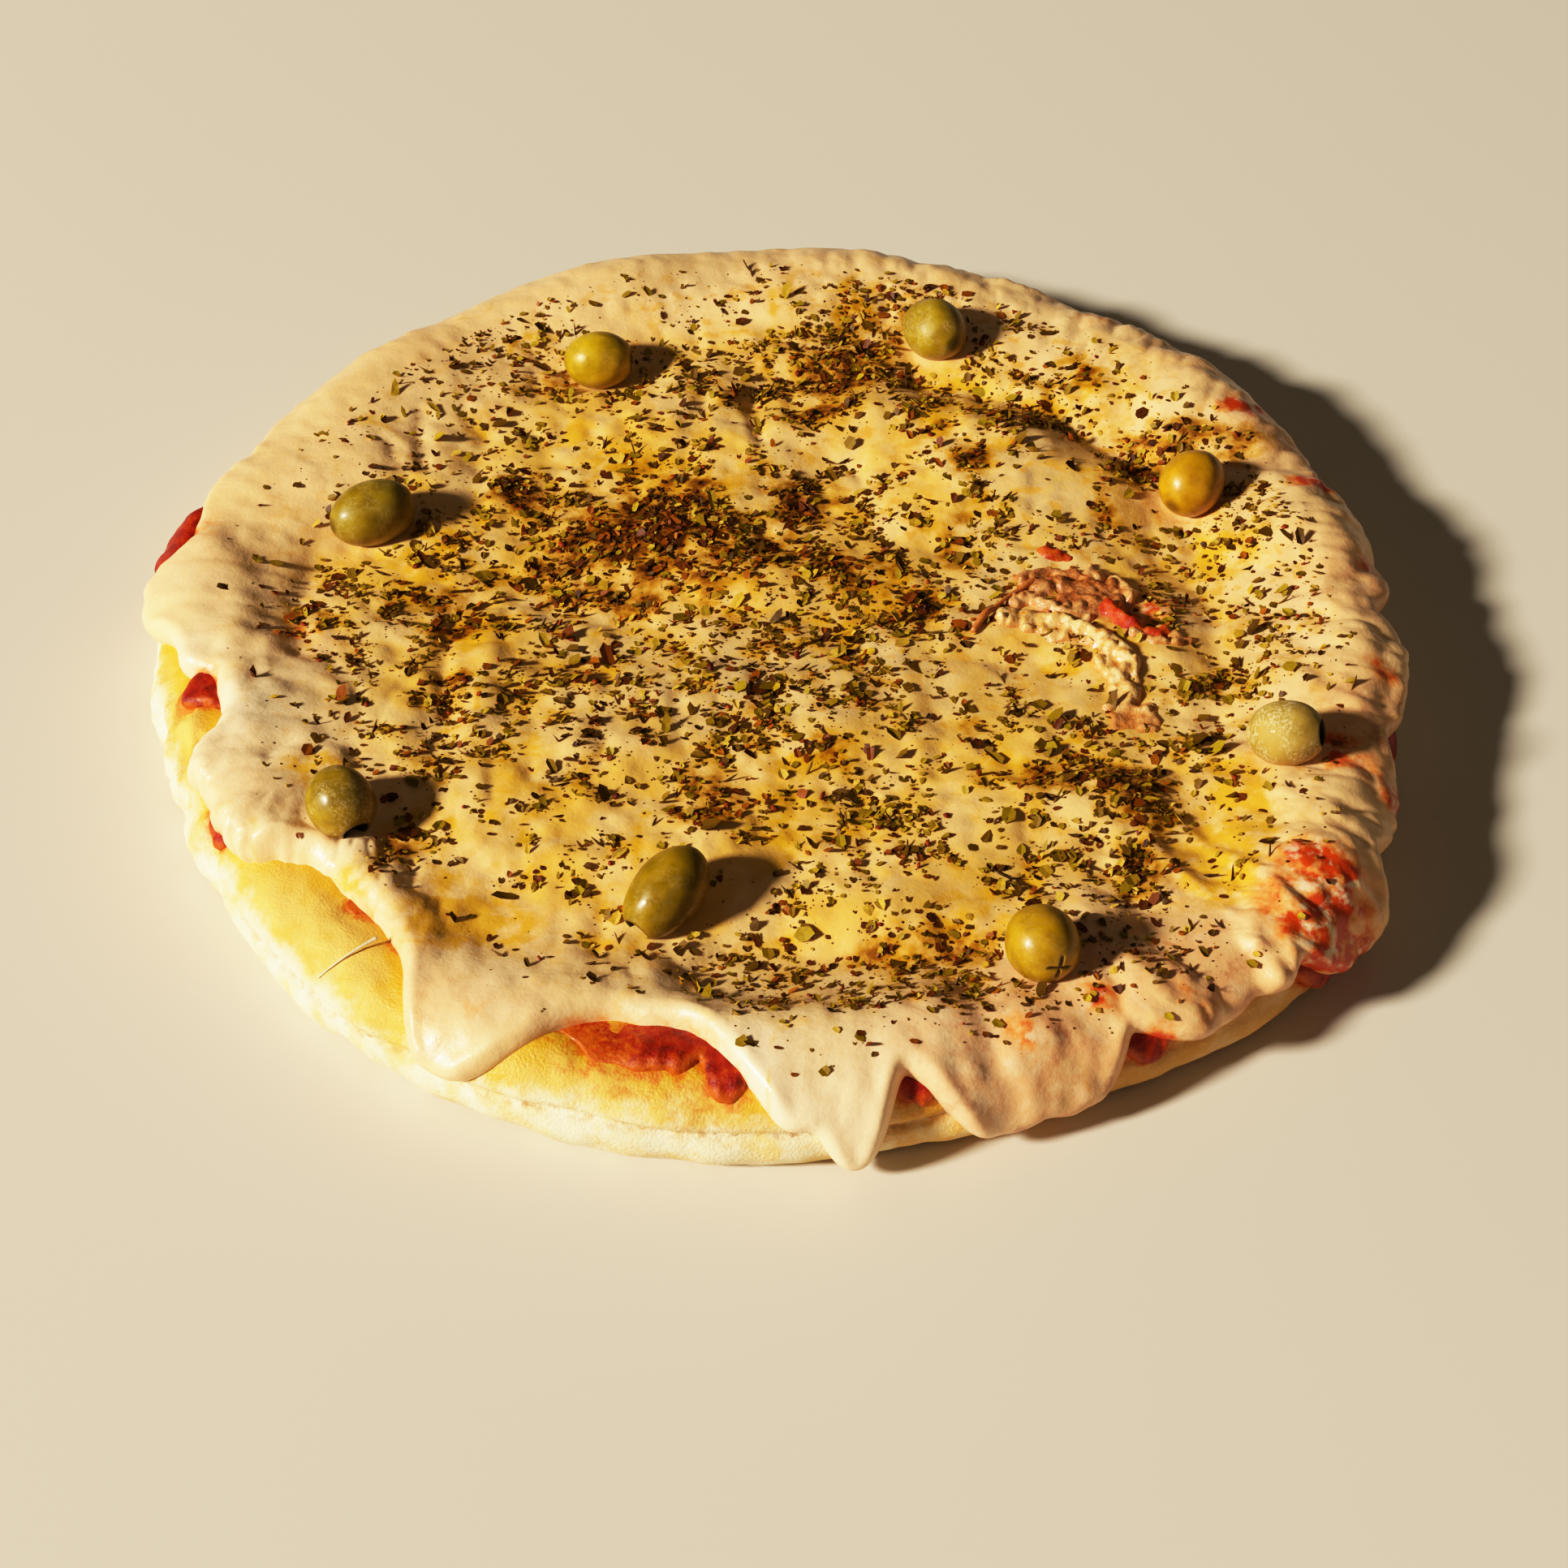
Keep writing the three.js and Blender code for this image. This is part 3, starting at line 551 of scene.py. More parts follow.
def depth_inside(edge, angle, reach):
    """How far inside an edge each point lies over the dough's surface, negative beyond the edge."""
    run = math.radians(EDGE_STEP) * DOUGH_RADIUS
    nearest = np.full(angle.shape, np.inf)
    for step in EDGE_WINDOW:
        start = edge_at(edge, angle + step) - reach
        rise = edge_at(edge, angle + step + EDGE_STEP) - reach - start
        along = math.radians(step) * DOUGH_RADIUS
        share = np.clip(-(along * run + start * rise) / (run**2 + rise**2), 0.0, 1.0)
        nearest = np.minimum(nearest, np.hypot(along + share * run, start + share * rise))
    return np.where(edge_at(edge, angle) >= reach, nearest, -nearest)


def layer_point(angle, reach, thickness, depth, edge_round):
    """Points of a layer: full inside its edge, rounded at it and sunk into the dough beyond it."""
    share = np.clip(depth / edge_round, 0.0, 1.0)
    full = thickness * np.sqrt(share * (2.0 - share))
    lift = np.where(depth < 0, np.maximum(SINK_SLOPE * depth, -SUNK), full)
    point = surface_point(angle, reach, lift)
    point[:, 2] = np.maximum(point[:, 2], LOWEST_DRIP)
    return point


# The cheese's surface

OLIVE_BOXES = [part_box(f"olive_{i + 1}") for i in range(len(OLIVES))]
OLIVE_CENTRES = [tuple((low[k] + high[k]) / 2 / MM for k in range(3)) for low, high in OLIVE_BOXES]
OLIVE_DIP_RADIUS = 12.0
OLIVE_DIP = -0.9
FOLD_POINTS = 40
PIT_STEEPNESS = 2.0

PILLOW_HEIGHT = 2.6

# The bead along the edge, and the roll at the left front: outer and inner half width
BEAD_HEIGHT = 0.7
BEAD_INSET = 3.2
BEAD_WIDTH = 2.2
ROLL_INSET = 5.5
ROLL_WIDTHS = (4.5, 12.0)


def cheese_relief(x, y):
    """Swells, humps, folds, the dips that the olives lie in and the pit of the torn patch."""
    total = CHEESE_DOME * np.exp(-(x**2 + y**2) / DOME_RADIUS**2)
    for length, direction, depth in CHEESE_WAVES:
        along = x * math.cos(math.radians(direction)) + y * math.sin(math.radians(direction))
        total += depth * np.sin(along * 2 * math.pi / length + direction)
    total += patches(x, y, HUMPS)
    for *curve, width, height in FOLDS:
        total += height * np.exp(-curve_distance(x, y, *curve, FOLD_POINTS) / width**2)
    total += patches(x, y, [(*centre[:2], OLIVE_DIP_RADIUS, OLIVE_DIP) for centre in OLIVE_CENTRES])
    pit_x, pit_y = TORN_PIT
    wide, deep, drop = TORN_PIT_SIZE
    return total - drop * np.exp(-(((x - pit_x) / wide) ** 2 + ((y - pit_y) / deep) ** 2) * PIT_STEEPNESS)


def cheese_roughness(foot, angle, reach):
    """Unevenness of the melted surface: pillows and bumps, with knobs and runs on parts of the rim."""
    rim = zone("rim relief", reach)
    calm = 1.0 - stretch("front lobe", angle)
    knobbly = calm * (stretch("right lumps", angle) + stretch("front right lumps", angle))
    running = stretch("left runs", angle) + stretch("front runs", angle)
    height = PILLOW_HEIGHT - rim * (stretch("smooth back", angle) + stretch("smooth front", angle))
    uneven = relief("rim swells", foot) + knobbly * relief("right lumps", foot)
    uneven += stretch("left knobs", angle) * relief("left knobs", foot)
    uneven += running * flowing(angle, reach, CHEESE_RUNS)
    torn = calm * np.clip(patches(foot[:, 0], foot[:, 1], PINKISH), 0.0, 1.0)
    total = height * relief("pillows", foot) + relief("cheese skin", foot)
    return total + rim * uneven + torn * relief("torn grains", foot)


def cheese_point(angle, reach):
    """Points of the cheese's top."""
    foot = surface_point(angle, reach)
    depth = depth_inside(CHEESE_EDGE, angle, reach)
    usual = CHEESE_MIDDLE + (CHEESE_RIM - CHEESE_MIDDLE) * ease(*THINNING_REACHES, reach)
    bead = BEAD_HEIGHT * zone("bead", reach) * np.exp(-(((depth - BEAD_INSET) / BEAD_WIDTH) ** 2))
    inward = edge_at(CALM_EDGE, angle) - reach - ROLL_INSET
    roll = np.exp(-((inward / np.where(inward < 0.0, *ROLL_WIDTHS)) ** 2)) * relief("roll", foot)
    thickness = usual + SAUCE_THICKNESS + LAYER_GAP + bead + stretch("roll", angle) * roll
    thickness = thickness + cheese_relief(foot[:, 0], foot[:, 1]) + cheese_roughness(foot, angle, reach)
    return layer_point(angle, reach, np.maximum(thickness, LEAST_CHEESE), depth, EDGE_ROUND)


# Meshes


def stitch(inner_start, inner_count, outer_start, outer_count):
    """Triangles between two rings of points, where one count is a multiple of the other."""
    if inner_count > outer_count:
        return stitch(outer_start, outer_count, inner_start, inner_count)[:, ::-1]
    ratio = outer_count // inner_count
    turn = max(ratio // 2, 1)
    i = np.arange(inner_count)
    here = inner_start + i
    after = inner_start + (i + 1) % inner_count
    faces = []
    for k in range(ratio):
        a = outer_start + (i * ratio + k) % outer_count
        b = outer_start + (i * ratio + k + 1) % outer_count
        faces.append(np.stack([here if k < turn else after, a, b], 1))
    if inner_count > 1:
        faces.append(np.stack([here, outer_start + (i * ratio + turn) % outer_count, after], 1))
    return np.concatenate(faces)


def faces_of_rings(counts):
    """Triangles of a closed skin over rings of points, from one point at the top to one underneath."""
    starts = np.concatenate([[0], np.cumsum(counts)])
    parts = [stitch(starts[k], counts[k], starts[k + 1], counts[k + 1]) for k in range(len(counts) - 1)]
    return np.concatenate(parts)


def make_piece(name, points, faces, material, replaced=(), masks=None, smooth=True):
    """A mesh from points in mm, riding on the object and painted by its masks."""
    mesh = bpy.data.meshes.new(name)
    mesh.vertices.add(len(points))
    mesh.vertices.foreach_set("co", (np.asarray(points, float) * MM).ravel())
    mesh.loops.add(faces.size)
    mesh.loops.foreach_set("vertex_index", faces.astype(np.int32).ravel())
    mesh.polygons.add(len(faces))
    mesh.polygons.foreach_set("loop_start", np.arange(0, faces.size, 3, dtype=np.int32))
    mesh.update(calc_edges=True)
    mesh.validate()
    mesh.polygons.foreach_set("use_smooth", np.full(len(mesh.polygons), smooth))
    for mask, values in (masks or {}).items():
        layer = mesh.attributes.new(mask, "FLOAT", "POINT")
        layer.data.foreach_set("value", np.asarray(values, np.float32))
    mesh.materials.append(material)
    piece = bpy.data.objects.new(name, mesh)
    bpy.context.scene.collection.objects.link(piece)
    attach(piece, "root")
    if replaced:
        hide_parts(*replaced)
    return piece


# Materials

# The spread of most of a noise's values, and how far noise frays the edge of a mask
SPREAD = (0.3, 0.7)
FRAY = (-0.35, 0.35)
SCATTER_RADII = (1.0, 0.7, 0.4)


def paint(red, green, blue):
    """A colour as seen on a screen, from 0 to 255, as the light values that a shader takes."""
    shares = np.array([red, green, blue]) / 255.0
    light = np.where(shares <= 0.04045, shares / 12.92, ((shares + 0.055) / 1.055) ** 2.4)
    return (*light, 1.0)


class Finish:
    """A node material that is built up from noises, masks and layers of colour."""

    def __init__(self, name):
        self.material = bpy.data.materials.new(name)
        self.material.use_nodes = True
        self.tree = self.material.node_tree
        self.shader = self.tree.nodes["Principled BSDF"]
        self.place = self.tree.nodes.new("ShaderNodeTexCoord").outputs["Object"]

    def plug(self, socket, value):
        """Joins a socket to an output, or sets it to a number, a named colour or a colour of three parts."""
        if isinstance(value, bpy.types.NodeSocket):
            self.tree.links.new(value, socket)
            return
        value = PAINTS[value] if isinstance(value, str) else value
        socket.default_value = paint(*value) if isinstance(value, tuple) else value

    def add(self, kind, inputs, **settings):
        """A new node with its settings made and its inputs plugged."""
        node = self.tree.nodes.new("ShaderNode" + kind)
        for setting, value in settings.items():
            setattr(node, setting, value)
        for key, value in inputs.items():
            self.plug(node.inputs[key], value)
        return node

    def noise(self, size, detail=3.0, rough=0.55):
        """Noise from 0 to 1 with features about size mm across."""
        inputs = {"Vector": self.place, "Scale": 1.0 / (size * MM), "Detail": detail, "Roughness": rough}
        return self.add("TexNoise", inputs).outputs["Fac"]

    def cells(self, size):
        """Distance to the nearest of scattered points, about size mm apart."""
        return self.add("TexVoronoi", {"Vector": self.place, "Scale": 1.0 / (size * MM)}).outputs["Distance"]

    def mask(self, name):
        return self.add("Attribute", {}, attribute_name=name).outputs["Fac"]

    def island(self):
        """A number from 0 to 1 for each separate bit of a mesh."""
        return self.add("NewGeometry", {}).outputs["Random Per Island"]

    def times(self, first, second):
        return self.add("Math", {0: first, 1: second}, operation="MULTIPLY").outputs[0]

    def plus(self, first, second):
        return self.add("Math", {0: first, 1: second}, operation="ADD").outputs[0]

    def band(self, value, low, high, start=0.0, end=1.0):
        """Smooth change from start to end as a value goes from low to high."""
        inputs = dict(enumerate((value, low, high, start, end)))
        return self.add("MapRange", inputs, interpolation_type="SMOOTHSTEP").outputs[0]

    def frayed(self, mask, size, detail, rough=0.55):
        """A mask with a ragged edge."""
        return self.plus(self.mask(mask), self.band(self.noise(size, detail, rough), *SPREAD, *FRAY))

    def mix(self, factor, under, over):
        return self.add("Mix", {0: factor, 6: under, 7: over}, data_type="RGBA").outputs[2]

    def lay(self, under, over, value, low, high, most=1.0):
        """A layer of colour that comes in, up to most of it, as a value goes from low to high."""
        return self.mix(self.band(value, low, high, 0.0, most), under, over)

    def dab(self, under, over, mask, value):
        """A layer of colour where a mask is, broken up by a value."""
        return self.mix(self.times(self.mask(mask), value), under, over)

    def ramp(self, value, name):
        node = self.add("ValToRGB", {0: value})
        elements = node.color_ramp.elements
        while len(elements) < len(RAMPS[name]):
            elements.new(1.0)
        for element, (position, colour) in zip(elements, RAMPS[name]):
            element.position = position
            element.color = paint(*colour)
        return node.outputs[0]

    def bump(self, height, depth):
        """Small relief of a depth in mm."""
        node = self.add("Bump", {"Height": height, "Distance": depth * MM})
        self.plug(self.shader.inputs["Normal"], node.outputs[0])

    def finish(self, colour, roughness, scatter=0.0, depth=1.0, coat=0.0, specular=0.5):
        """The material, with a share of light scattered to a depth in mm, a coat and a gloss."""
        inputs = self.shader.inputs
        self.plug(inputs["Base Color"], colour)
        self.plug(inputs["Roughness"], roughness)
        inputs["Specular IOR Level"].default_value = specular
        inputs["Coat Weight"].default_value = coat
        inputs["Subsurface Weight"].default_value = scatter
        inputs["Subsurface Scale"].default_value = depth * MM
        inputs["Subsurface Radius"].default_value = SCATTER_RADII
        return self.material


def cheese_finish():
    skin = Finish("melted_cheese")
    soft = skin.noise(6.0)
    grain = skin.noise(2.6, 4.0)
    blotch = skin.times(skin.band(soft, *SPREAD, 0.45, 1.5), skin.band(grain, *SPREAD, 0.75, 1.25))
    colour = skin.lay("cheese deep", "cheese light", skin.noise(16.0, 4.0), 0.38, 0.6)
    colour = skin.mix(skin.mask("rim"), colour, "cheese rim")
    # Pale cheese, partly painted light at the far left and on the front drips
    colour = skin.mix(skin.mask("white"), colour, "cheese white")
    # Grey sweaty cheese, and painted shade over the front rim's hollow
    colour = skin.dab(colour, "cheese sweaty and shade", "grey_and_shade", skin.band(grain, *SPREAD, 0.4, 1.0))
    colour = skin.dab(colour, "cheese pink", "pink", skin.band(soft, 0.3, 0.6, 0.35, 1.0))
    # Dusky mottles of sauce under the cheese, deepened as painted shade on the lower right
    colour = skin.dab(colour, "cheese dusky and shade", "pink", skin.band(skin.noise(7.0, 4.0), 0.52, 0.7, 0.0, 0.6))
    oil = skin.times(skin.mask("oil"), blotch)
    colour = skin.lay(colour, "cheese oil", oil, 0.1, 0.9, 0.9)
    colour = skin.dab(colour, "cheese spots", "spotted", skin.band(skin.noise(5.0, 4.0), 0.52, 0.66))
    toast = skin.times(skin.mask("brown"), blotch)
    colour = skin.lay(colour, "toast golden", toast, 0.1, 0.6, 0.85)
    colour = skin.lay(colour, "toast brown", toast, 0.42, 1.0, 0.9)
    colour = skin.lay(colour, "toast dark", toast, 0.85, 1.5, 0.9)
    red = skin.times(skin.mask("stain"), skin.band(soft, *SPREAD, 0.3, 1.6))
    red = skin.times(red, skin.band(grain, *SPREAD, 0.7, 1.3))
    colour = skin.lay(colour, "stain orange", red, 0.1, 0.7, 0.85)
    colour = skin.lay(colour, "stain red", red, 0.4, 1.3, 0.95)
    torn = skin.plus(skin.mask("stain"), skin.times(skin.mask("pink"), 0.5))
    curds = skin.times(torn, skin.band(skin.noise(4.5), 0.52, 0.68, 0.0, 0.75))
    colour = skin.mix(curds, colour, "curds")
    skin.bump(skin.plus(skin.noise(0.9), skin.times(grain, 2.0)), 0.08)
    roughness = skin.band(oil, 0.0, 0.7, 0.39, 0.21)
    return skin.finish(colour, roughness, scatter=0.16, depth=1.6, coat=0.05, specular=0.42)


def sauce_finish(name):
    pulp = Finish(name)
    lumps = pulp.noise(3.5, 5.0)
    fine = pulp.noise(0.8, 4.0)
    smear = pulp.ramp(pulp.noise(1.8, 4.0), "smear")
    colour = pulp.mix(pulp.mask("smear"), pulp.ramp(lumps, name), smear)
    thin = pulp.times(pulp.mask("thin"), pulp.band(lumps, 0.3, 0.65, 0.3, 1.2))
    colour = pulp.lay(colour, "sauce thin", thin, 0.1, 0.9, 0.85)
    pulp.bump(pulp.plus(fine, lumps), 0.3)
    roughness = pulp.band(fine, *SPREAD, 0.36, 0.56)
    return pulp.finish(colour, roughness, scatter=0.06, depth=1.0, coat=0.05, specular=0.3)


def dough_finish():
    crumb = Finish("dough")
    cloud = crumb.noise(11.0, 5.0)
    oily = crumb.frayed("oil", 11.0, 4.0)
    colour = crumb.lay("dough deep", "dough light", cloud, 0.35, 0.65)
    colour = crumb.lay(colour, "dough oil", oily, 0.1, 0.9, 0.9)
    colour = crumb.mix(crumb.mask("baked"), colour, "dough baked")
    colour = crumb.lay(colour, "flour", crumb.frayed("flour", 9.0, 4.0, 0.65), 0.25, 1.3, 0.95)
    colour = crumb.lay(colour, "dough stain", crumb.frayed("stain", 3.0, 5.0), 0.25, 1.0, 0.95)
    # Toast towards the foot, and painted shade along the crease
    colour = crumb.dab(colour, "dough toast", "toast", crumb.band(crumb.noise(2.5, 5.0), 0.42, 0.66))
    crumb.bump(crumb.plus(crumb.noise(0.7, 4.0), crumb.times(cloud, 0.8)), 0.3)
    return crumb.finish(colour, crumb.band(oily, 0.2, 0.8, 0.75, 0.4), scatter=0.08, depth=1.6)


def olive_finish(name, dark, light, roughness, frost):
    skin = Finish(name)
    cloud = skin.noise(6.0, 4.0)
    colour = skin.lay(dark, light, cloud, 0.32, 0.68)
    dots = skin.band(skin.cells(1.1), 0.06, 0.14, 1.0, 0.0)
    colour = skin.mix(skin.times(dots, 0.45), colour, tuple(min(255, value + 34) for value in light))
    frosted = skin.band(skin.noise(0.7, 5.0), 0.4, 0.66, 0.0, frost)
    frosted = skin.times(skin.band(skin.noise(5.0, 2.0), 0.4, 0.6), frosted)
    colour = skin.mix(frosted, colour, "olive frost")
    # Painted shade inside the pit's hole and the cross cut
    colour = skin.mix(skin.mask("pit_shade"), colour, "olive pit")
    colour = skin.mix(skin.mask("tip"), colour, tuple(DARKER * value for value in dark))
    skin.bump(skin.noise(1.6), 0.06)
    uneven = skin.band(cloud, *SPREAD, roughness * 0.8, roughness * 1.2)
    return skin.finish(colour, uneven, scatter=0.12, depth=1.2, coat=0.04, specular=0.4)


def herb_finish(name, roughness):
    leaf = Finish(name)
    veins = leaf.noise(0.8)
    colour = leaf.lay(leaf.ramp(leaf.island(), name), "herb veins", veins, 0.35, 0.75, 0.4)
    leaf.bump(veins, 0.05)
    return leaf.finish(colour, roughness, specular=0.18)


def torn_finish():
    crumb = Finish("torn_cheese")
    cloud = crumb.noise(2.6, 4.0)
    fine = crumb.noise(0.8, 4.0)
    brown = crumb.band(crumb.mask("brown"), 0.15, 0.85)
    colour = crumb.mix(brown, crumb.ramp(cloud, "torn_cheese"), crumb.ramp(fine, "torn brown"))
    colour = crumb.mix(crumb.mask("rosy"), colour, crumb.lay("rosy deep", "rosy light", cloud, 0.35, 0.65))
    # Orange oil and painted shade in the low creases between the torn strokes
    colour = crumb.dab(colour, "torn oil and shade", "low", crumb.band(cloud, 0.3, 0.6, 0.4, 1.0))
    crumb.bump(fine, 0.3)
    return crumb.finish(colour, 0.26, scatter=0.2, depth=1.5, coat=0.2)


def strand_finish(name, colour):
    thread = Finish(name)
    shade = thread.mix(thread.noise(2.5, 4.0), colour, tuple(DARKER * value for value in PAINTS[colour]))
    thread.bump(thread.noise(0.7), 0.15)
    return thread.finish(shade, 0.35, scatter=0.2, depth=1.0)


# The dough

CRUST_SIDES = 720
CRUST_REACHES = np.array([-SLOPE_WIDTH, -18.0, -10.0, *np.arange(-6.0, FOOT_REACH, 0.8), FOOT_REACH])
DOUGH_OIL = 0.9
OIL_RUN = 7.0
SOAKED_OIL = 0.8
DOUGH_STAIN = 0.9
STAIN_RUN = 2.0
SOAKED_RUN = 4.0
FLOUR_BAKED_OFF = 0.75
DOUGH_TOAST_AND_CREASE_SHADE = 0.8


def build_crust():
    angle = np.tile(ring_angles(CRUST_SIDES), len(CRUST_REACHES))
    reach = np.repeat(CRUST_REACHES, CRUST_SIDES)
    foot = surface_point(angle, reach)
    flat = foot * [1, 1, 0]
    creased = stretch("crease", angle)
    across = (reach - CREASE_REACH - relief("crease wander", flat)) / CREASE_WIDTH
    groove = np.exp(-(across**2)) * creased
    lip = zone("lip", reach) * zone("lip end", reach) * creased * relief("lip", flat)
    wrinkled = stretch("wrinkles", angle) * zone("wrinkles", reach) * zone("wrinkles end", reach)
    lift = lip - CREASE_DEPTH * groove + relief("dough", foot)
    lift += wrinkled * (flowing(angle, reach, DOUGH_RUNS) + relief("wrinkles", foot))
    points = surface_point(angle, reach, lift * zone("above foot", reach))
    points[:, 2] = np.maximum(points[:, 2], 0.0)
    baked = stretch("baked", angle)
    soaked = stretch("soaked", angle)
    seep = fading(-depth_inside(SAUCE_EDGE, angle, reach), STAIN_RUN + SOAKED_RUN * soaked)
    oil = DOUGH_OIL * fading(-depth_inside(CHEESE_EDGE, angle, reach), OIL_RUN) * zone("dough oil", reach)
    masks = {
        "oil": oil + SOAKED_OIL * soaked * seep,
        "flour": zone("flour", reach) * (1.0 - FLOUR_BAKED_OFF * baked),
        "stain": DOUGH_STAIN * seep,
        "baked": baked * relief("baked", foot),
        # Toasting towards the foot, and painted shade in the crease's groove
        "toast": np.clip(zone("dough toast", reach) + groove, 0.0, 1.0) * DOUGH_TOAST_AND_CREASE_SHADE,
    }
    points = np.concatenate([[[0.0, 0.0, MIDDLE_HEIGHT]], points, [[0.0, 0.0, 0.0]]])
    masks = {mask: np.concatenate([[0.0], values, [0.0]]) for mask, values in masks.items()}
    faces = faces_of_rings([1] + [CRUST_SIDES] * len(CRUST_REACHES) + [1])
    make_piece("crust", points, faces, dough_finish(), ["dough"], masks)


# Layers over the dough

EDGE_DEPTHS = (4.0, 3.2, 2.5, 1.9, 1.4, 1.0, 0.65, 0.35, 0.15, 0.0, -0.4, -1.2)


def rings(kind, sides, *values):
    return [(kind, value, sides) for value in values]


# Rings of points over each layer, closer together near its edge
SAUCE_RINGS = [
    *rings("depth", 720, SLOPE_WIDTH, 28.0, 20.0, *np.arange(16.0, 4.0, -0.8)),
    *rings("depth", 1440, *EDGE_DEPTHS),
]
CHEESE_RINGS = [
    *rings("share", 45, 0.02, 0.04),
    *rings("share", 90, 0.06, 0.085, 0.11),
    *rings("share", 180, *np.arange(0.13, 0.25, 0.0125)),
    *rings("share", 360, *np.arange(0.25, 0.6, 0.0115)),
    *rings("share", 720, *np.arange(0.6, 0.995, 0.0115)),
    *rings("depth", 720, *np.arange(37.0, 26.0, -1.25)),
    *rings("depth", 1440, *np.arange(26.0, 12.0, -1.25), *np.arange(12.0, 4.0, -0.8), *EDGE_DEPTHS),
]
# Rings that close a layer inside the dough: reach and sides
CORE_RINGS = [(0.0, 360), (-SLOPE_WIDTH, 180)]


def ring_reach(kind, value, turns, edge):
    """The reach of a ring that lies a share of the way to the slope's foot, or a depth inside an edge."""
    if kind == "share":
        middle = RIM_ROUND - outline_radius(turns)
        return middle + value * (-SLOPE_WIDTH - middle)
    return edge_at(edge, turns) * (1.0 - ease(0.0, EDGE_FADE, value)) - value


def layer_skin(layer_rings, point_at, edge):
    """Points of a layer over its rings, closed inside the dough, with its faces, angles and reaches."""
    counts = [sides for _, _, sides in layer_rings]
    angle = np.concatenate([ring_angles(sides) for sides in counts])
    reaches = [ring_reach(kind, value, ring_angles(sides), edge) for kind, value, sides in layer_rings]
    reach = np.concatenate(reaches)
    points = point_at(angle, reach)
    core = [surface_point(ring_angles(sides), np.full(sides, at), -CORE_SINK) for at, sides in CORE_RINGS]
    top = np.array([[0.0, 0.0, points[:counts[0], 2].mean()]])
    bottom = np.array([[0.0, 0.0, MIDDLE_HEIGHT - CORE_SINK]])
    points = np.concatenate([top, points, *core, bottom])
    faces = faces_of_rings([1, *counts, *(sides for _, sides in CORE_RINGS), 1])
    return points, faces, angle, reach


def with_ends(masks, count):
    """Masks of a layer's rings, with its middle point's values and zeros for the points inside the dough."""
    padded = {}
    for mask, values in masks.items():
        padded[mask] = np.zeros(count)
        padded[mask][0] = values[0]
        padded[mask][1:1 + len(values)] = values
    return padded


# The sauce

SMEAR_THINNING = 0.8
SMEAR_CALM = 0.6
LEAST_SAUCE = 0.25
SAUCE_ROUND = 2.4
SMEAR_ROUND = 6.0
THIN_RUN = 1.8
SMEAR_RUN = 3.5
SMEAR_SHARE = 0.85


def sauce_point(angle, reach):
    """Points of the sauce's top."""
    smear = smeared(angle)
    swollen = stretch("left run", angle) * zone("left run", reach)
    swollen += stretch("small left run", angle) * zone("small left run", reach)
    pulp = relief("pulp", surface_point(angle, reach)) * (1.0 - SMEAR_CALM * smear)
    thickness = np.maximum(SAUCE_THICKNESS * (1.0 - SMEAR_THINNING * smear) + pulp + swollen, LEAST_SAUCE)
    depth = depth_inside(SAUCE_EDGE, angle, reach)
    return layer_point(angle, reach, thickness, depth, SAUCE_ROUND + SMEAR_ROUND * smear)


def build_sauce():
    points, faces, angle, reach = layer_skin(SAUCE_RINGS, sauce_point, SAUCE_EDGE)
    smear = smeared(angle)
    thin = fading(depth_inside(SAUCE_EDGE, angle, reach), THIN_RUN + SMEAR_RUN * smear)
    masks = with_ends({"thin": thin, "smear": SMEAR_SHARE * smear}, len(points))
    finish = sauce_finish("tomato_sauce")
    make_piece("sauce", points, faces, finish, ["tomato_sauce"], masks)


# The cheese

# How thick the oregano lies: a grid of cells, blurred, and the count that makes it thick
HAZE_CELL = 2.0
HAZE_HALF = 180.0
HAZE_BLUR = 2.8
HAZE_CELLS = int(2 * HAZE_HALF / HAZE_CELL)
HAZE_KERNEL = np.exp(-((np.arange(-5, 6) * HAZE_CELL / HAZE_BLUR) ** 2))
HAZE_COUNT = 4.0
HAZE_MOST = 1.4

# How strongly each thing shows on the cheese
CHEESE_TOAST = 1.2
HAZE_TOAST = 0.33
TOAST_FLOOR = 0.12
TOAST_MOST = 1.5
OIL_PATCHES = 0.85
HAZE_OIL = 0.1
VEIN_OIL = 0.4
CREASE_OIL = 0.4
GOLDEN_OIL = 0.6
OIL_MOST = 1.2
VEIN_WIDTH = 0.05
VEIN_STRETCH = 0.5
CREASE_SHARPNESS = 4.0
EDGE_STAIN = 0.35
EDGE_STAIN_RUN = 1.5
STAIN_MOST = 1.2
RIM_SHARE = 0.75
RIM_WHITE = 0.1
SPOT_SHARE = 0.75
USUAL_SPOTS = 0.35


def herb_haze(x, y, herbs):
    """How thick the oregano lies over each place, from 0 to about 1."""
    span = [-HAZE_HALF, HAZE_HALF]
    grid, _, _ = np.histogram2d(herbs[:, 0], herbs[:, 1], bins=HAZE_CELLS, range=[span, span])
    for axis in (0, 1):
        grid = np.apply_along_axis(np.convolve, axis, grid, HAZE_KERNEL, mode="same")
    column, row = (np.clip((at + HAZE_HALF) / HAZE_CELL - 0.5, 0, HAZE_CELLS - 1.001) for at in (x, y))
    i, j = column.astype(int), row.astype(int)
    u, v = column - i, row - j
    corners = grid[i, j] * (1 - u) * (1 - v) + grid[i + 1, j] * u * (1 - v)
    corners += grid[i, j + 1] * (1 - u) * v + grid[i + 1, j + 1] * u * v
    return np.clip(corners / HAZE_COUNT, 0.0, HAZE_MOST)


def toast_share(x, y):
    return patches(x, y, TOASTED) * relief("toast", flat_points(x, y))


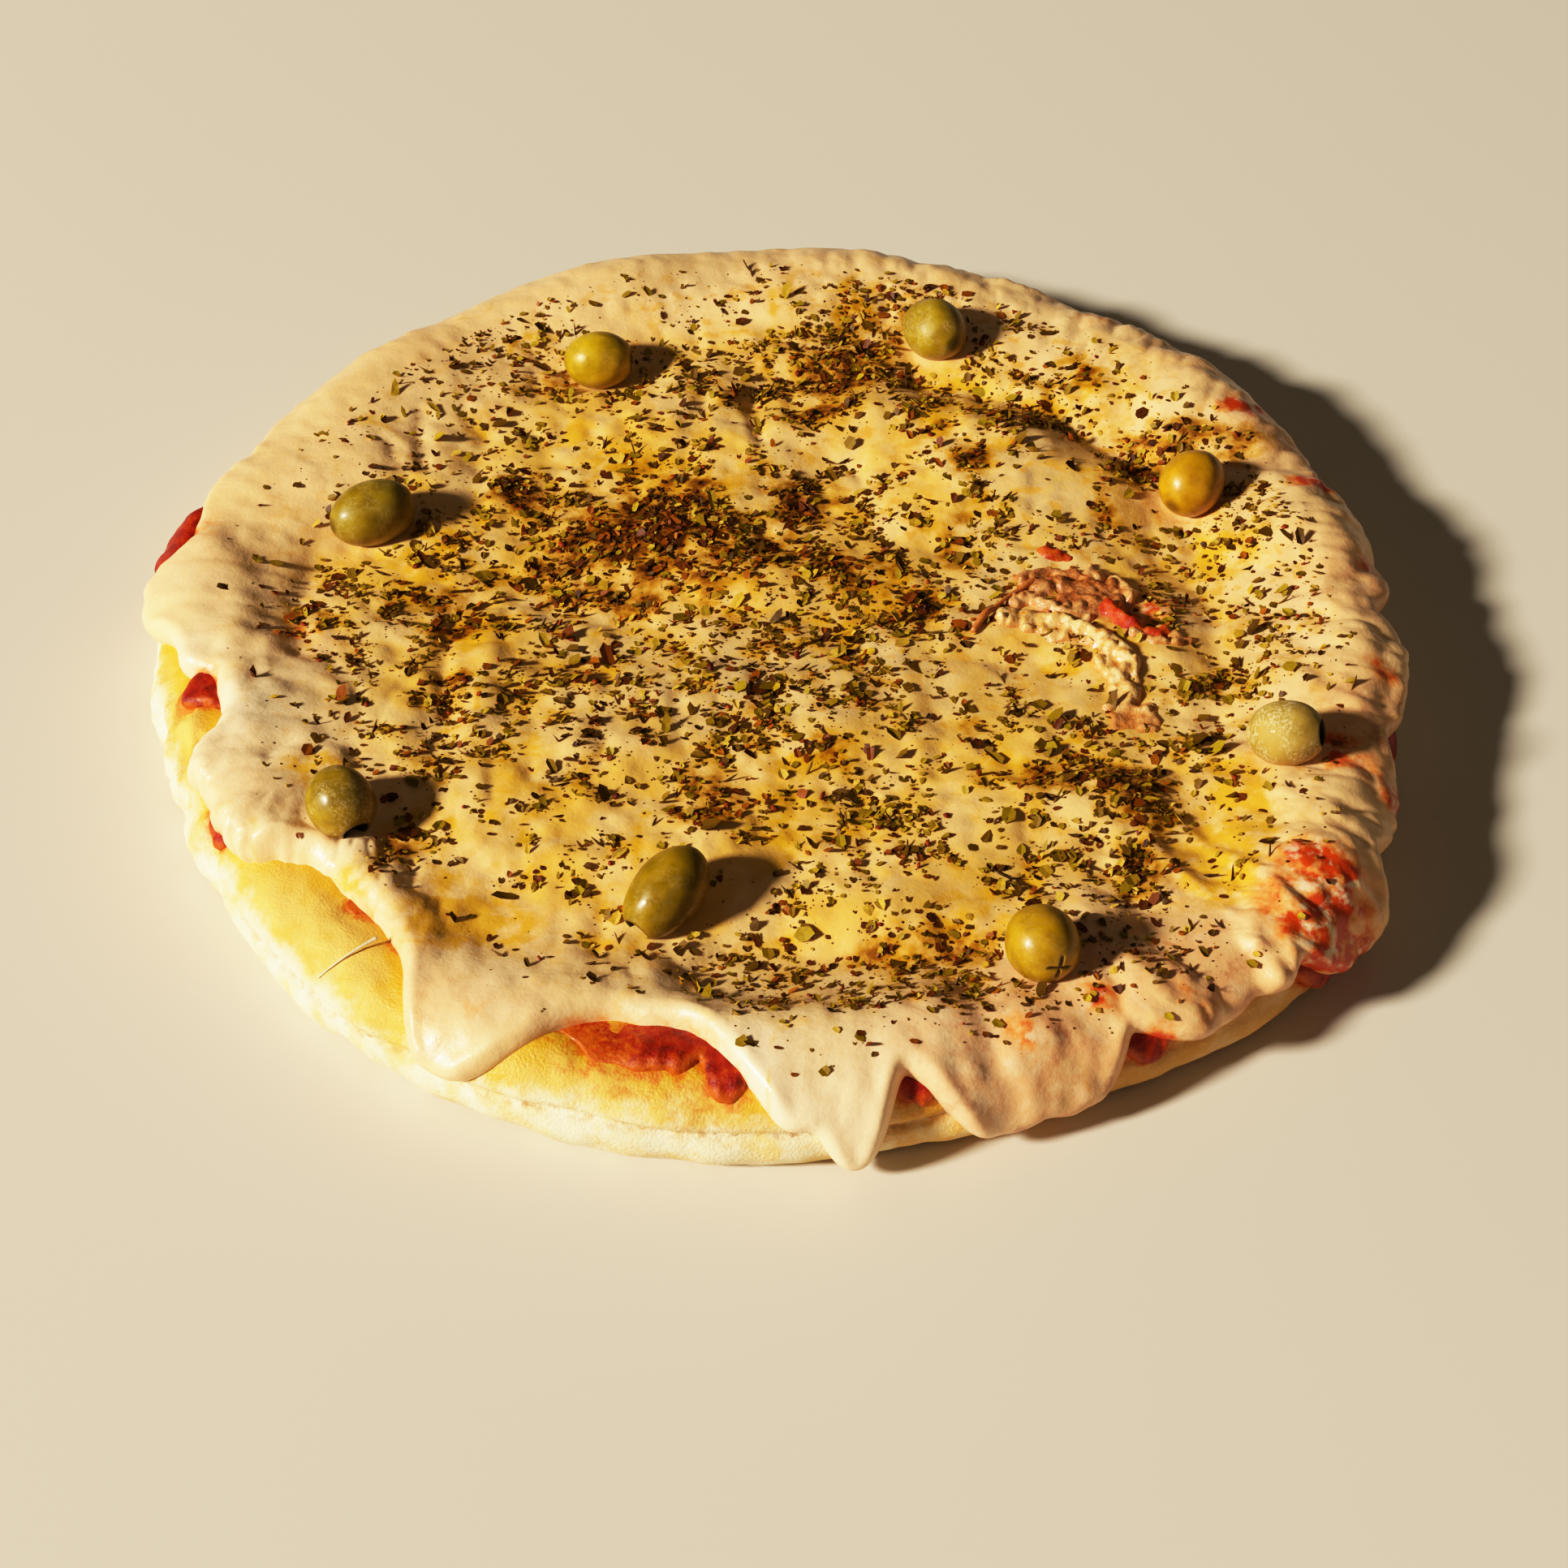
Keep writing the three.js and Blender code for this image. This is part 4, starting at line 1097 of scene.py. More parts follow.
def oil_share(foot, reach, haze):
    """Where oil lies: in patches, under oregano, in veins, in creases and in golden blotches."""
    flat = foot * [1, 1, 0]
    veins = np.exp(-((relief("oil veins", flat) / VEIN_WIDTH) ** 2))
    veins = veins * ease(0.0, VEIN_STRETCH, relief("vein stretches", flat))
    golden = GOLDEN_OIL * zone("golden", reach) * np.maximum(relief("golden", flat), 0.0)
    crease = np.clip(-CREASE_SHARPNESS * relief("pillows", foot), 0.0, 1.0) * zone("oily creases", reach)
    oil = OIL_PATCHES * patches(foot[:, 0], foot[:, 1], OILED) + HAZE_OIL * haze
    return oil + VEIN_OIL * veins + golden + CREASE_OIL * crease


def white_and_painted_light_share(flat, angle, reach):
    """Where the rim is pale: at the left, and most of all at the front; at the far left and on the front
    drips the paleness is partly painted light.
    """
    left = stretch("pale left", angle) + stretch("white left and painted light", angle)
    pale = zone("pale rim", reach) * (RIM_WHITE + left)
    pale += zone("white front and painted light", reach) * stretch("white front and painted light", angle)
    return pale * relief("white", flat)


def build_cheese(herbs):
    points, faces, angle, reach = layer_skin(CHEESE_RINGS, cheese_point, CHEESE_EDGE)
    foot = surface_point(angle, reach)
    x, y = foot[:, 0], foot[:, 1]
    haze = herb_haze(x, y, herbs)
    edge_stain = EDGE_STAIN * fading(depth_inside(CHEESE_EDGE, angle, reach), EDGE_STAIN_RUN)
    stain = patches(x, y, STAINED) + edge_stain * (edge_at(SAUCE_EDGE, angle) > reach)
    spots = USUAL_SPOTS + stretch("spots", angle)
    masks = {
        "rim": RIM_SHARE * zone("rim colour", reach),
        "white": np.clip(white_and_painted_light_share(foot * [1, 1, 0], angle, reach), 0.0, 1.0),
        # Grey sweaty cheese, and painted shade along the front rim
        "grey_and_shade": np.clip(patches(x, y, SWEATY_AND_SHADED), 0.0, 1.0),
        "spotted": SPOT_SHARE * zone("spots", reach) * spots,
        "pink": np.clip(patches(x, y, PINKISH), 0.0, 1.0),
        "oil": np.clip(oil_share(foot, reach, haze), 0.0, OIL_MOST),
        "brown": np.clip(toast_share(x, y) * CHEESE_TOAST + HAZE_TOAST * haze - TOAST_FLOOR, 0.0, TOAST_MOST),
        "stain": np.clip(stain, 0.0, STAIN_MOST),
    }
    masks = with_ends(masks, len(points))
    make_piece("melted_cheese", points, faces, cheese_finish(), ["cheese"], masks)


# The olives

# Skins of the olives: dark and light colour, roughness, share of frost
OLIVE_TINTS = [
    ((158, 126, 2), (196, 158, 10), 0.36, 0.1),
    ((140, 112, 6), (168, 138, 18), 0.42, 0.3),
    ((130, 104, 4), (156, 130, 16), 0.38, 0.2),
    ((164, 118, 2), (200, 148, 8), 0.32, 0.05),
    ((158, 128, 46), (184, 152, 70), 0.55, 0.9),
    ((120, 96, 2), (154, 124, 8), 0.36, 0.35),
    ((126, 100, 1), (156, 124, 6), 0.3, 0.1),
    ((148, 112, 2), (182, 140, 8), 0.32, 0.1),
]
OLIVE_SIDES = 72
PIT_RADIUS = 3.4
PIT_DEPTH = 6.0
PIT_TAPER = 0.8
PIT_DRAWN_IN = 0.18
LIP_DRAWN_IN = 0.1575
LIP_TURNS = 0.03 * np.arange(4)
SKIN_START = 0.15
SKIN_END = math.pi - 0.05
SKIN_RINGS = 56
TIP_SHARES = (-0.93, -1.0)

# The cross cut into one olive's closed end, painted dark as shade in the cut
SLIT_OLIVE = 7
SLIT_TURN = 0.3
SLIT_ENDS = (3.6, 2.4)
SLIT_WIDTH = 0.42
SLIT_DEPTH = 0.08
SLIT_SHADE = 0.9


def olive_rings(half, radius):
    """Rings of an olive from the pit's floor over its lip to the closed end: radius, place, painted shade."""
    mouth = math.asin(PIT_RADIUS / radius)
    floor = half * math.cos(mouth) - PIT_DEPTH
    rings = [(PIT_RADIUS * PIT_TAPER * share, floor, 1.0) for share in (0.5, 1.0)]
    for share in (0.25, 0.5, 0.75, 0.9):
        wall = PIT_RADIUS * (PIT_TAPER + (1 - PIT_TAPER) * share) - PIT_DRAWN_IN
        rings.append((wall, floor + PIT_DEPTH * share, 1.0))
    turns = [*(mouth + LIP_TURNS), *np.linspace(mouth + SKIN_START, SKIN_END, SKIN_RINGS)]
    for k, turn in enumerate(turns):
        drawn_in = LIP_DRAWN_IN if k == 0 else 0.0
        rings.append((radius * math.sin(turn) - drawn_in, half * math.cos(turn), max(0.0, 0.8 - 0.4 * k)))
    return np.array(rings)


def slit_cut(local):
    """Where the cross is cut into an olive's closed end."""
    aside, ahead = local[:, 0], local[:, 1]
    arms = np.minimum(np.abs(aside + SLIT_TURN * ahead), np.abs(ahead - SLIT_TURN * aside))
    inside = ease(*SLIT_ENDS, np.hypot(aside, ahead)) * (local[:, 2] < 0)
    return np.exp(-((arms / SLIT_WIDTH) ** 2)) * inside


def build_olive(index):
    length, diameter, heading, rise = OLIVES[index]
    half = length / 2
    rings = olive_rings(half, diameter / 2)
    ring, along, dark = np.repeat(rings, OLIVE_SIDES, axis=0).T
    spin = np.tile(np.arange(OLIVE_SIDES) * 2 * math.pi / OLIVE_SIDES, len(rings))
    local = np.stack([ring * np.cos(spin), ring * np.sin(spin), along], axis=-1)
    local = np.concatenate([[[0, 0, rings[0, 1]]], local, [[0, 0, -half]]])
    # Painted shade in the pit's hole, fading over its lip; the skin's noise is kept out of it
    pit_shade = np.concatenate([[1.0], dark, [0.0]])
    tip = ease(*TIP_SHARES, local[:, 2] / half)
    local = local * (1.0 + np.clip(1.0 - pit_shade, 0.0, 1.0) * relief("olive", local, index))[:, None]
    if index == SLIT_OLIVE:
        tip = np.zeros_like(tip)
        cut = slit_cut(local)
        local = local * (1.0 - SLIT_DEPTH * cut)[:, None]
        pit_shade = np.maximum(pit_shade, SLIT_SHADE * cut)
    level, lean = math.radians(heading), math.radians(rise)
    axis = np.array([math.cos(lean) * math.cos(level), math.cos(lean) * math.sin(level), math.sin(lean)])
    flat = np.array([-math.sin(level), math.cos(level), 0.0])
    points = local @ np.stack([flat, np.cross(axis, flat), axis]) + np.array(OLIVE_CENTRES[index])
    number = index + 1
    finish = olive_finish(f"olive_skin_{number}", *OLIVE_TINTS[index])
    faces = faces_of_rings([1] + [OLIVE_SIDES] * len(rings) + [1])[:, ::-1]
    masks = {"pit_shade": pit_shade, "tip": tip}
    make_piece(f"green_olive_{number}", points, faces, finish, [f"olive_{number}"], masks)


# The oregano

HERB_SEED = 20
LEAF_COUNT = 7600
LEAF_LENGTH = 1.85
LEAF_LENGTH_SPREAD = 0.36
LEAF_LENGTHS = (1.0, 5.5)
LEAF_WIDTHS = (0.5, 1.0)
LEAF_THICKNESS = 0.22
LEAF_CORNERS = 6
LEAF_ROUGHNESS = 0.5
TOASTED_SHARE = 0.22
TOASTED_MORE = 0.55

# How uneven a leaf is, how it leans, folds and curls, and how it lies on the cheese
LEAF_UNEVEN = (0.62, 1.12)
LEAF_LEAN = 0.48
LEAF_FOLD = 0.35
LEAF_CURL = (-0.045, 0.135)
LEAF_PROP = 0.16
LEAF_CLEARANCE = 0.06
UNDERSIDE_SHARE = 0.9
PEAK_SHARE = 1.5
LEAF_ROOT = 0.1

SPECK_COUNT = 8500
SPECK_SIZES = (0.35, 1.0)
SPECK_UNEVEN = (0.5, 1.0)
SPECK_FLATNESS = 0.5
SPECK_LIFT = 0.08
SPECK_ROUGHNESS = 0.6
SPECK_FACES = np.array([
    [4, 0, 2], [4, 2, 1], [4, 1, 3], [4, 3, 0], [5, 2, 0], [5, 1, 2], [5, 3, 1], [5, 0, 3],
])

# Stems and flecks: count, lengths, widths, whether these are shares of the length, roughness
HERB_BITS = {
    "oregano_stems": (420, (2.0, 5.5), (0.4, 0.65), False, 0.6),
    "dried_tomato_flecks": (190, (0.9, 2.2), (0.6, 0.95), True, 0.45),
}
BIT_THICKNESS = 0.35

# How the oregano spreads: on the rim, in clumps and at least
RIM_HERBS = 0.17
OUTERMOST_HERBS = 0.3
CLUMP_SHARE = 1.5
CLUMP_RANGE = (-0.15, 0.6)
LEAST_HERBS = 0.02
MOST_HERBS = 4.0
DRAWN_AT_ONCE = 20000
DRAWN_BEYOND = 8.0
OLIVE_MARGIN = 0.6
EDGE_MARGIN = 4.0
USUAL_HERB_END = -3.0
FRAME_STEP = 0.5


def clear_of_olives(x, y):
    clear = np.ones(x.shape, bool)
    for (length, diameter, heading, _), (centre_x, centre_y, _) in zip(OLIVES, OLIVE_CENTRES):
        turn = math.radians(heading)
        along = (x - centre_x) * math.cos(turn) + (y - centre_y) * math.sin(turn)
        side = -(x - centre_x) * math.sin(turn) + (y - centre_y) * math.cos(turn)
        half, radius = length / 2 + OLIVE_MARGIN, diameter / 2 + OLIVE_MARGIN
        clear &= (along / half) ** 2 + (side / radius) ** 2 > 1.0
    return clear


def herb_share(x, y):
    """How likely oregano is at a place: thick in the middle, thin on the rim, with thick and thin patches."""
    flat = flat_points(x, y)
    angle, reach = spot_of(x, y)
    outer = RIM_HERBS + stretch("herbs right", angle) + stretch("herbs front", angle)
    spread = outer + (1.0 - outer) * zone("herbs middle", reach)
    spread = spread * (OUTERMOST_HERBS + (1.0 - OUTERMOST_HERBS) * zone("herbs rim", reach))
    clumps = CLUMP_SHARE * ease(*CLUMP_RANGE, relief("herb clumps", flat)) + relief("herb grain", flat)
    spread = spread * np.maximum(relief("herb spread", flat) + clumps, 0.0)
    return np.maximum(spread + patches(x, y, HERB_PATCHES) * zone("herb patches", reach), LEAST_HERBS)


def sprinkle(count, rng):
    """Places for oregano on the cheese, drawn by its share."""
    found = np.zeros((0, 2))
    while len(found) < count:
        radius = (DOUGH_RADIUS + DRAWN_BEYOND) * np.sqrt(rng.random(DRAWN_AT_ONCE))
        turn = rng.random(DRAWN_AT_ONCE) * 2 * math.pi
        x, y = radius * np.cos(turn), radius * np.sin(turn)
        angle, reach = spot_of(x, y)
        end = stretch("herbs down front", angle) + stretch("herbs down right", angle) + USUAL_HERB_END
        keep = rng.random(DRAWN_AT_ONCE) * MOST_HERBS < herb_share(x, y)
        keep &= clear_of_olives(x, y) & (reach < edge_at(CHEESE_EDGE, angle) - EDGE_MARGIN) & (reach < end)
        found = np.concatenate([found, np.stack([x[keep], y[keep]], axis=-1)])
    return found[:count]


def on_cheese(places):
    """Points of the cheese's top over places."""
    return cheese_point(*spot_of(places[:, 0], places[:, 1]))


def cheese_frames(places):
    """The cheese's surface at places inside the rim: points, and directions outwards, round and up."""
    angle, reach = spot_of(places[:, 0], places[:, 1])
    centre = cheese_point(angle, reach)
    turn = np.degrees(FRAME_STEP / np.maximum(np.hypot(places[:, 0], places[:, 1]), 2.0))
    out = cheese_point(angle, reach + FRAME_STEP) - centre
    turned = cheese_point(angle + turn, reach) - centre
    up = np.cross(out, turned)
    up /= np.linalg.norm(up, axis=1, keepdims=True)
    out /= np.linalg.norm(out, axis=1, keepdims=True)
    return centre, out, np.cross(up, out), up


def many_bits(points, pattern):
    """One mesh of closed bits, each with its own row of points and the same pattern of faces."""
    starts = points.shape[1] * np.arange(len(points))
    faces = pattern[None] + starts[:, None, None]
    return points.reshape(-1, 3), faces.reshape(-1, 3)


def leaf_mesh(places, length, width, rng, thickness=LEAF_THICKNESS):
    """Flat, curled, uneven leaves lying on the cheese, as one mesh of closed bits."""
    count = len(places)
    length, width = length[:, None], width[:, None]
    centre, out, turned, up = cheese_frames(places)
    heading = rng.random(count)[:, None] * 2 * math.pi
    along = np.cos(heading) * out + np.sin(heading) * turned
    across = np.cross(up, along)
    i = np.arange(LEAF_CORNERS)
    corner = i * 2 * math.pi / LEAF_CORNERS
    reach = rng.uniform(*LEAF_UNEVEN, (count, LEAF_CORNERS))
    u = np.cos(corner) * reach * length / 2
    v = np.sin(corner) * reach * width / 2
    lean = rng.normal(0.0, LEAF_LEAN, (count, 1))
    fold = np.abs(rng.normal(0.0, LEAF_FOLD, (count, 1)))
    curl = rng.uniform(*LEAF_CURL, count)[:, None] * (2 * u / length) ** 2 * length
    prop = LEAF_PROP * np.abs(lean) * length + LEAF_CLEARANCE
    rise = curl + lean * u + fold * np.abs(v) + prop

    def lay(shrink, lift):
        flat = (shrink * u)[..., None] * along[:, None] + (shrink * v)[..., None] * across[:, None]
        return centre[:, None] + flat + (rise + lift)[..., None] * up[:, None]

    peak = centre + (thickness * PEAK_SHARE + prop) * up
    root = centre - LEAF_ROOT * up
    points = [lay(1.0, thickness), lay(UNDERSIDE_SHARE, 0.0), peak[:, None], root[:, None]]
    j = (i + 1) % LEAF_CORNERS
    under_i, under_j = LEAF_CORNERS + i, LEAF_CORNERS + j
    top = np.full(LEAF_CORNERS, 2 * LEAF_CORNERS)
    sides = [(top, i, j), (top + 1, under_j, under_i), (i, under_i, under_j), (i, under_j, j)]
    return many_bits(np.concatenate(points, axis=1), np.concatenate([np.stack(side, 1) for side in sides]))


def speck_mesh(places, size, rng):
    """Tiny crumbs of leaf, as closed bits of eight faces."""
    centre, out, turned, up = cheese_frames(places)
    spread = rng.uniform(*SPECK_UNEVEN, (len(places), 6)) * size[:, None] / 2
    arms = np.stack([out, -out, turned, -turned, SPECK_FLATNESS * up, -SPECK_FLATNESS * up], axis=1)
    return many_bits(centre[:, None] + arms * spread[..., None] + SPECK_LIFT * up[:, None], SPECK_FACES)


def draw(number):
    """A repeatable number from 0 to 1, as in the model."""
    value = math.sin(number * 12.9898 + 4.1414) * 43758.5453
    return value - math.floor(value)


def largest_flakes():
    """Places and sizes of the largest flakes, by the model's own rule."""
    golden_turn, keep_clear, jitter, crowding = 137.508, 15.0, 6.0, 1.12
    spread = DOUGH_RADIUS - 1.5 * RIM_ROUND
    taken = [*OLIVE_CENTRES, TORN_PIT]
    found = []
    i = 0
    while len(found) < FLAKE_COUNT:
        radius = spread * math.sqrt((i + 0.5) / (FLAKE_COUNT * crowding))
        turn = math.radians(i * golden_turn)
        x = radius * math.cos(turn) + jitter * (draw(i * 5) - 0.5)
        y = radius * math.sin(turn) + jitter * (draw(i * 5 + 1) - 0.5)
        angle, reach = spot_of(np.array([x]), np.array([y]))
        inside = depth_inside(CHEESE_EDGE, angle, reach)[0] > EDGE_ROUND
        if inside and all(math.hypot(x - spot[0], y - spot[1]) > keep_clear for spot in taken):
            found.append((x, y, 0.75 + 0.5 * draw(i * 5 + 2)))
        i += 1
    return np.array(found)


def build_oregano():
    """Lays the oregano and gives back the places of all its leaves."""
    rng = np.random.default_rng(HERB_SEED)
    leaves = sprinkle(LEAF_COUNT, rng)
    length = np.clip(LEAF_LENGTH * np.exp(rng.normal(0.0, LEAF_LENGTH_SPREAD, LEAF_COUNT)), *LEAF_LENGTHS)
    width = length * rng.uniform(*LEAF_WIDTHS, LEAF_COUNT)
    large = largest_flakes()
    leaves = np.concatenate([large[:, :2], leaves])
    length = np.concatenate([FLAKE_LENGTH * large[:, 2], length])
    width = np.concatenate([FLAKE_WIDTH * large[:, 2], width])
    toast = np.clip(toast_share(leaves[:, 0], leaves[:, 1]), 0.0, 1.0)
    toasted = rng.random(len(leaves)) < TOASTED_SHARE + TOASTED_MORE * toast
    for name, chosen in (("oregano_green", ~toasted), ("oregano_toasted", toasted)):
        points, faces = leaf_mesh(leaves[chosen], length[chosen], width[chosen], rng)
        make_piece(name, points, faces, herb_finish(name, LEAF_ROUGHNESS), smooth=False)
    name = "oregano_specks"
    points, faces = speck_mesh(sprinkle(SPECK_COUNT, rng), rng.uniform(*SPECK_SIZES, SPECK_COUNT), rng)
    make_piece(name, points, faces, herb_finish(name, SPECK_ROUGHNESS), smooth=False)
    for name, (count, lengths, widths, by_length, roughness) in HERB_BITS.items():
        places = sprinkle(count, rng)
        length = rng.uniform(*lengths, count)
        width = rng.uniform(*widths, count) * (length if by_length else 1.0)
        points, faces = leaf_mesh(places, length, width, rng, BIT_THICKNESS)
        make_piece(name, points, faces, herb_finish(name, roughness))
    return leaves


# The torn patch and the strands

# Strokes of torn cheese: start, bend, end, radius, rise, brownness, rosiness
TORN_STROKES = [
    ((60, -4), (70, -5), (79, -9), 2.6, 0.9, 0.0, 0.1),
    ((66, -8), (74, -9), (82, -14), 1.8, 0.4, 0.2, 0.0),
    ((74, -6), (85, -10), (89, -21), 3.0, 1.2, 0.0, 0.1),
    ((86, -14), (91, -22), (88, -34), 3.0, 1.0, 0.0, 0.2),
    ((84, -20), (86, -27), (86, -35), 2.0, 0.6, 0.0, 0.0),
    ((64, 3), (72, 3), (81, -5), 2.3, 1.2, 0.35, 0.8),
    ((62, 0), (68, 5), (72, 9), 1.7, 1.0, 0.6, 0.6),
    ((65, 11), (74, 17), (83, 13), 2.2, 0.9, 0.75, 0.3),
    ((71, 8), (78, 11), (86, 9), 2.6, 0.8, 1.0, 0.0),
    ((74, 3), (81, 5), (88, 3), 2.6, 0.6, 1.0, 0.0),
    ((78, -2), (83, 0), (88, -2), 2.0, 0.6, 0.9, 0.1),
    ((84, 15), (91, 12), (92, 4), 2.0, 1.3, 0.2, 0.8),
    ((69, 7), (78, 9), (87, 5), 5.0, 0.0, 0.75, 0.4),
    ((76, 1), (82, 2), (89, -3), 4.4, 0.0, 0.7, 0.5),
    ((97, -9), (101, -9), (106, -12), 1.4, 0.4, 0.5, 0.4),
    ((91, -10), (97, -14), (104, -12), 1.5, 0.3, 0.4, 0.6),
    ((84, -38), (89, -36), (94, -38), 2.6, 0.0, 0.0, 0.6),
    ((85, -43), (89, -42), (93, -41), 2.4, -0.5, 0.1, 0.8),
]
# Tomato in the torn patch: start, bend, end, radius, rise, thinness
TORN_TOMATO = [
    ((86, 0), (89, -3), (93, -6), 3.6, 3.0, 0.4),
    ((92, -6), (95, -8), (98, -10), 2.2, 0.7, 0.6),
    ((98, -10), (101, -11), (104, -12), 1.6, 0.2, 0.9),
    ((73, 22), (74, 22), (76, 21), 2.0, 0.4, 0.9),
]
# Corners of the grids for the two, and seeds of their unevenness
TORN_CORNERS = ((46, -56), (114, 30))
TOMATO_CORNERS = ((68, -22), (112, 28))
TORN_SEED = 90
TOMATO_SEED = 84
STROKE_POINTS = 24
TORN_STEP = 0.5
TORN_KEENNESS = 2.5
TORN_SUNK = -1.4
LOWEST_STROKE = -4.0
RISE_SHARE = 0.8
RADIUS_SHARE = 0.45
WIDEST_RADIUS = 3.0
KNOB_HEIGHTS = (-0.6, 0.8)
# Heights over which the low creases take oil and painted shade
LOW_OIL_AND_SHADE_HEIGHTS = (1.6, -0.2)

# The thread of cheese that hangs over the dough
THREAD_POINTS = 28
THREAD_ANGLE = -127.5
THREAD_TURN = -2.8
THREAD_REACH = -2.0
THREAD_LENGTH = 15.0
THREAD_LIFT = 2.2
THREAD_CLEARANCE = 0.15
THREAD_RADIUS = 0.2
THREAD_ROOT = 0.3

# The toasted strip beside the torn patch
STRIP_POINTS = 26
STRIP_CURVE = ((51.6, -10.6), (58.0, 1.0), (69.0, 10.5))
STRIP_LIFT = 0.7
STRIP_ARCH = 1.2
STRIP_RADIUS = 0.75
STRIP_KNOTS = 0.25
STRIP_KNOT_TURNS = 9.0


def torn_mesh(strokes, low, high, seed):
    """Torn strokes that rise out of the cheese and run into one another, with their values blended."""
    columns, rows = (np.arange(low[k], high[k], TORN_STEP) for k in (0, 1))
    x, y = (axis.ravel() for axis in np.meshgrid(columns, rows))
    flat = flat_points(x, y)
    warped_x = x + relief("torn outline", flat, seed)
    warped_y = y + relief("torn outline", flat, seed + 2)
    heights = []
    for *curve, radius, rise in (row[:5] for row in strokes):
        near = curve_distance(warped_x, warped_y, *curve, STROKE_POINTS)
        top = RISE_SHARE * rise + RADIUS_SHARE * min(radius, WIDEST_RADIUS)
        heights.append(np.clip(top * (1.0 - near / radius**2), LOWEST_STROKE, None))
    weights = np.exp(TORN_KEENNESS * np.array(heights))
    height = np.log(weights.sum(axis=0)) / TORN_KEENNESS
    values = np.array([row[5:] for row in strokes]).T @ (weights / weights.sum(axis=0))
    knobs = relief("torn knobs", flat, seed) * ease(*KNOB_HEIGHTS, height)
    height = np.maximum(height + knobs, TORN_SUNK)
    points = on_cheese(flat)
    points[:, 2] += height
    corner = (np.arange(len(rows) - 1)[:, None] * len(columns) + np.arange(len(columns) - 1)).ravel()
    above = corner + len(columns)
    halves = [(corner, corner + 1, above + 1), (corner, above + 1, above)]
    faces = np.concatenate([np.stack(half, 1) for half in halves])
    faces = faces[(height[faces] > TORN_SUNK).any(axis=1)]
    used, faces = np.unique(faces, return_inverse=True)
    return points[used], faces.reshape(-1, 3), [*values[:, used], ease(*LOW_OIL_AND_SHADE_HEIGHTS, height[used])]


def build_torn_patch():
    points, faces, values = torn_mesh(TORN_STROKES, *TORN_CORNERS, TORN_SEED)
    masks = dict(zip(("brown", "rosy", "low"), values))
    make_piece("torn_cheese", points, faces, torn_finish(), masks=masks)
    points, faces, (thin, _) = torn_mesh(TORN_TOMATO, *TOMATO_CORNERS, TOMATO_SEED)
    finish = sauce_finish("tomato_pulp")
    make_piece("tomato_pulp", points, faces, finish, masks={"thin": thin})


def tube_mesh(path, radii, sides=8):
    """A closed tube along points, with a radius at each."""
    ahead = np.gradient(path, axis=0)
    ahead /= np.linalg.norm(ahead, axis=1, keepdims=True)
    side = np.cross(ahead, [0.0, 0.0, 1.0])
    side /= np.linalg.norm(side, axis=1, keepdims=True)
    over = np.cross(side, ahead)
    spin = np.arange(sides) * 2 * math.pi / sides
    ring = np.cos(spin)[None, :, None] * side[:, None] + np.sin(spin)[None, :, None] * over[:, None]
    points = path[:, None] + ring * radii[:, None, None]
    points = np.concatenate([path[:1], points.reshape(-1, 3), path[-1:]])
    return points, faces_of_rings([1] + [sides] * len(path) + [1])


def build_strands():
    """The thread of cheese that hangs over the dough, and the toasted strip beside the torn patch."""
    share = np.linspace(0.0, 1.0, THREAD_POINTS)
    angle = THREAD_ANGLE + THREAD_TURN * share
    lift = THREAD_LIFT * (1 - share) ** 2 + THREAD_CLEARANCE
    thread = surface_point(angle, THREAD_REACH + THREAD_LENGTH * share, lift)
    points, faces = tube_mesh(thread, THREAD_RADIUS + THREAD_ROOT * (1 - share) ** 3)
    finish = strand_finish("cheese_strand", "cheese strand")
    make_piece("cheese_strand", points, faces, finish)
    share = share[:STRIP_POINTS]
    strip = on_cheese(bend_points(*STRIP_CURVE, STRIP_POINTS))
    strip[:, 2] += STRIP_LIFT + STRIP_ARCH * np.sin(math.pi * share)
    points, faces = tube_mesh(strip, STRIP_RADIUS + STRIP_KNOTS * np.sin(STRIP_KNOT_TURNS * share))
    finish = strand_finish("toasted_strand", "toasted strand")
    make_piece("toasted_strand", points, faces, finish)


# The stage, in metres

FLOOR_SIZE = 8.0
FLOOR_HEIGHT = -0.0002
LIGHT_AIM = (0.0, 0.0, 0.02)
# Lights: name, place, size, power, colour
LIGHTS = [
    ("key_light", (-5.6, -2.75, 3.6), 1.0, 870.0, (1.0, 0.93, 0.82)),
    ("fill_light", (0.9, -1.3, 1.6), 1.6, 2.0, (1.0, 0.88, 0.7)),
]
BACKDROP_COLOUR = (1.0, 0.84, 0.6, 1.0)
BACKDROP_STRENGTH = 0.06
NEAREST_SEEN = 0.01

# How the picture bends its tones: light before and after
BRIGHTEST = 1.8
TONES = [(0.05, 0.03), (0.18, 0.15), (0.4, 0.42), (0.7, 0.7), (1.0, 0.86)]
WHITEST = 0.97


